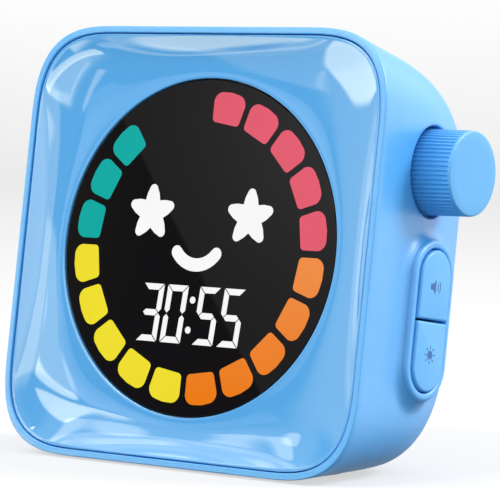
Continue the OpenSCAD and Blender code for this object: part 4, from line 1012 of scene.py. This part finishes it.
# Each button carries a small printed mark in slate-blue ink: a loudspeaker on the upper one
# and a sun on the lower one. The ink is two hundredths of a millimetre thick.
mark_z, mark_scale, ink_inner, ink_outer = 6.6, 1.2, button_top - 0.005, button_top + 0.015


def arc_band(middle, radius, half, start, end, steps):
    angles = [math.radians(start + (end - start) * i / steps) for i in range(steps + 1)]
    outer, inner = [[(middle + r * math.cos(t), r * math.sin(t)) for t in angles]
                    for r in (radius + half, radius - half)]
    return outer + inner[::-1]


def printed_mark(name, outlines, middle, body):
    prints = []
    for outline in outlines:
        prints.append(loft([[(x, control_y + mark_scale * y, middle + mark_scale * z) for y, z in outline]
                            for x in (ink_inner, ink_outer)]))
    piece = closed_piece(name, *joined(prints))
    piece.data.materials.append(ink)
    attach(piece, body)


ink = moulded("slate_ink", (52, 100, 166), 0.5, shade=0.05, grain=4000)
horn = [(-1.55, -0.5), (-0.85, -0.5), (-0.05, -1.2), (-0.05, 1.2), (-0.85, 0.5), (-1.55, 0.5)]
waves = [arc_band(-0.1, 0.75, 0.11, -42, 42, 10), arc_band(-0.1, 1.35, 0.11, -42, 42, 14)]
printed_mark("volume_mark", [horn] + waves, pill_z + mark_z, "volume_key")
sun = [arc_band(0, 0.36, 0.36, 0, 360, 28)[:28]]
for i in range(8):
    t = math.pi / 4 * i
    beam = [(0.95, -0.11), (1.5, -0.11), (1.5, 0.11), (0.95, 0.11)]
    sun.append([(a * math.cos(t) - b * math.sin(t), a * math.sin(t) + b * math.cos(t)) for a, b in beam])
printed_mark("light_mark", sun, pill_z - mark_z, "light_key")


# Behind each button a tact switch stands on the side board: a black housing with a small
# round plunger that the button's stem presses.
painted(moulded("switch_nylon", (40, 40, 43), 0.5), "switch_housings")
painted(moulded("switch_plunger", (58, 56, 56), 0.4), "volume_plunger", "light_plunger")


# A flat lithium cell lies on a strip of foam tape along the bottom wall, and leads with
# soft insulation and a flat ribbon join the cell, the loudspeaker and the side board to
# their plugs on the main board.
pouch = metal("foil_pouch", (186, 190, 196), 0.4, (0.2, 0.2, 0.2), 0.12, 0.85)
painted(pouch, "battery_cell")
painted(cellular("pale_foam", (214, 212, 202), 0.5), "battery_tape")
painted(moulded("red_insulation", (186, 34, 28), 0.42), "battery_lead")
painted(moulded("black_insulation", (30, 30, 33), 0.42), "speaker_lead")
ribbon, tree, shader = new_material("ribbon_cable", {"Roughness": 0.4})
wires = add_node(tree, "ShaderNodeTexWave", {"Scale": 160, "Vector": object_place(tree)},
                 bands_direction="Z")["Fac"]
# Painted shade and highlight: the colour is darker in the grooves between the wires and lighter on their
# tops, following the bump.
fill(tree, shader, {"Base Color": mixed(tree, wires, linear(150, 152, 156), linear(214, 214, 216)),
                    "Normal": relieved(tree, wires, 0.1)})
painted(ribbon, "side_lead")


# The loudspeaker is glued behind the grille with a ring of foam: a dark steel frame with a
# magnet at its back and a paper cone.
painted(metal("dark_steel", (84, 86, 90), 0.4), "speaker")
painted(moulded("cone_paper", (38, 38, 41), 0.85, shade=0.08, grain=700, relief=0.08), "speaker_cone")
painted(black_foam, "speaker_gasket")


# The rear cover is a plate of the case's own plastic with a round grille and a slot for the
# charging socket. Four screws with domed heads and cross recesses, let into the plate, hold it.
painted(case_plastic, "rear_cover")
screw_head, head_deep, screw_tip, screw_r = 2.1, 1.2, 7.2, 1.05
screw_line = [(0, 0), (1.2, 0.03), (1.75, 0.14), (2.05, 0.34), (screw_head, 0.55), (screw_head, head_deep),
              (screw_r, head_deep)]
thread_rows, thread_pitch, thread_depth = 18, 0.3, 0.18
for i in range(thread_rows):
    along = head_deep + 0.4 + thread_pitch * i
    screw_line += [(screw_r - thread_depth, along), (screw_r, along + thread_pitch / 2)]
screw_line += [(0.5, screw_tip - 0.2), (0, screw_tip)]
screw_rings = [[(x, -y, z) for x, z in circle(r, steps=48)] for r, y in screw_line]
screw = closed_piece("screw", *loft(screw_rings), place=unmoved)
cross = []
for long_way in (0, 1):
    rings = []
    for y, half_l, half_s in ((0.2, 1.2, 0.27), (-0.8, 0.75, 0.16)):
        a, b = (half_l, half_s) if long_way else (half_s, half_l)
        rings.append([(a, y, b), (-a, y, b), (-a, y, -b), (a, y, -b)])
    cross.append(closed_piece("cross", *loft(rings), place=unmoved))
carve(screw, cross)
scatter, given, result = new_group(
    "screw_set", {"Geometry": "Geometry", "Screw": "Object", "Finish": "Material"},
    {"Geometry": "Geometry"}, "GeometryNodeTree")
shape = add_node(scatter, "GeometryNodeObjectInfo", {"Object": given["Screw"]})["Geometry"]
heading = add_node(scatter, "FunctionNodeRandomValue", {3: 3.1, 8: 4}, data_type="FLOAT")[1]
spin = add_node(scatter, "ShaderNodeCombineXYZ", {"Y": heading})[0]
placed = add_node(scatter, "GeometryNodeInstanceOnPoints",
                  {"Points": given["Geometry"], "Instance": shape, "Rotation": spin})[0]
made_real(scatter, placed, given["Finish"], result)
spots = new_piece("spots", [(x, case_depth, z) for x, z in boss_places], [])
cover_screws = grown("cover_screws", spots, scatter, {"Screw": screw, "Finish": zinc})
bpy.data.objects.remove(screw)
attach(cover_screws, "case")
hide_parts("rear_cover_screws")
painted(metal("bright_nickel", (206, 206, 208), 0.2), "usb_socket")


# The base pad is a rounded strip of dark rubber set into a pocket in the bottom wall. It
# stands half a millimetre proud and keeps the timer from sliding.
painted(moulded("pad_rubber", (50, 52, 57), 0.78, shade=0.04, grain=1500, relief=0.05), "base_pad")

boxes = [cad_box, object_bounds()]
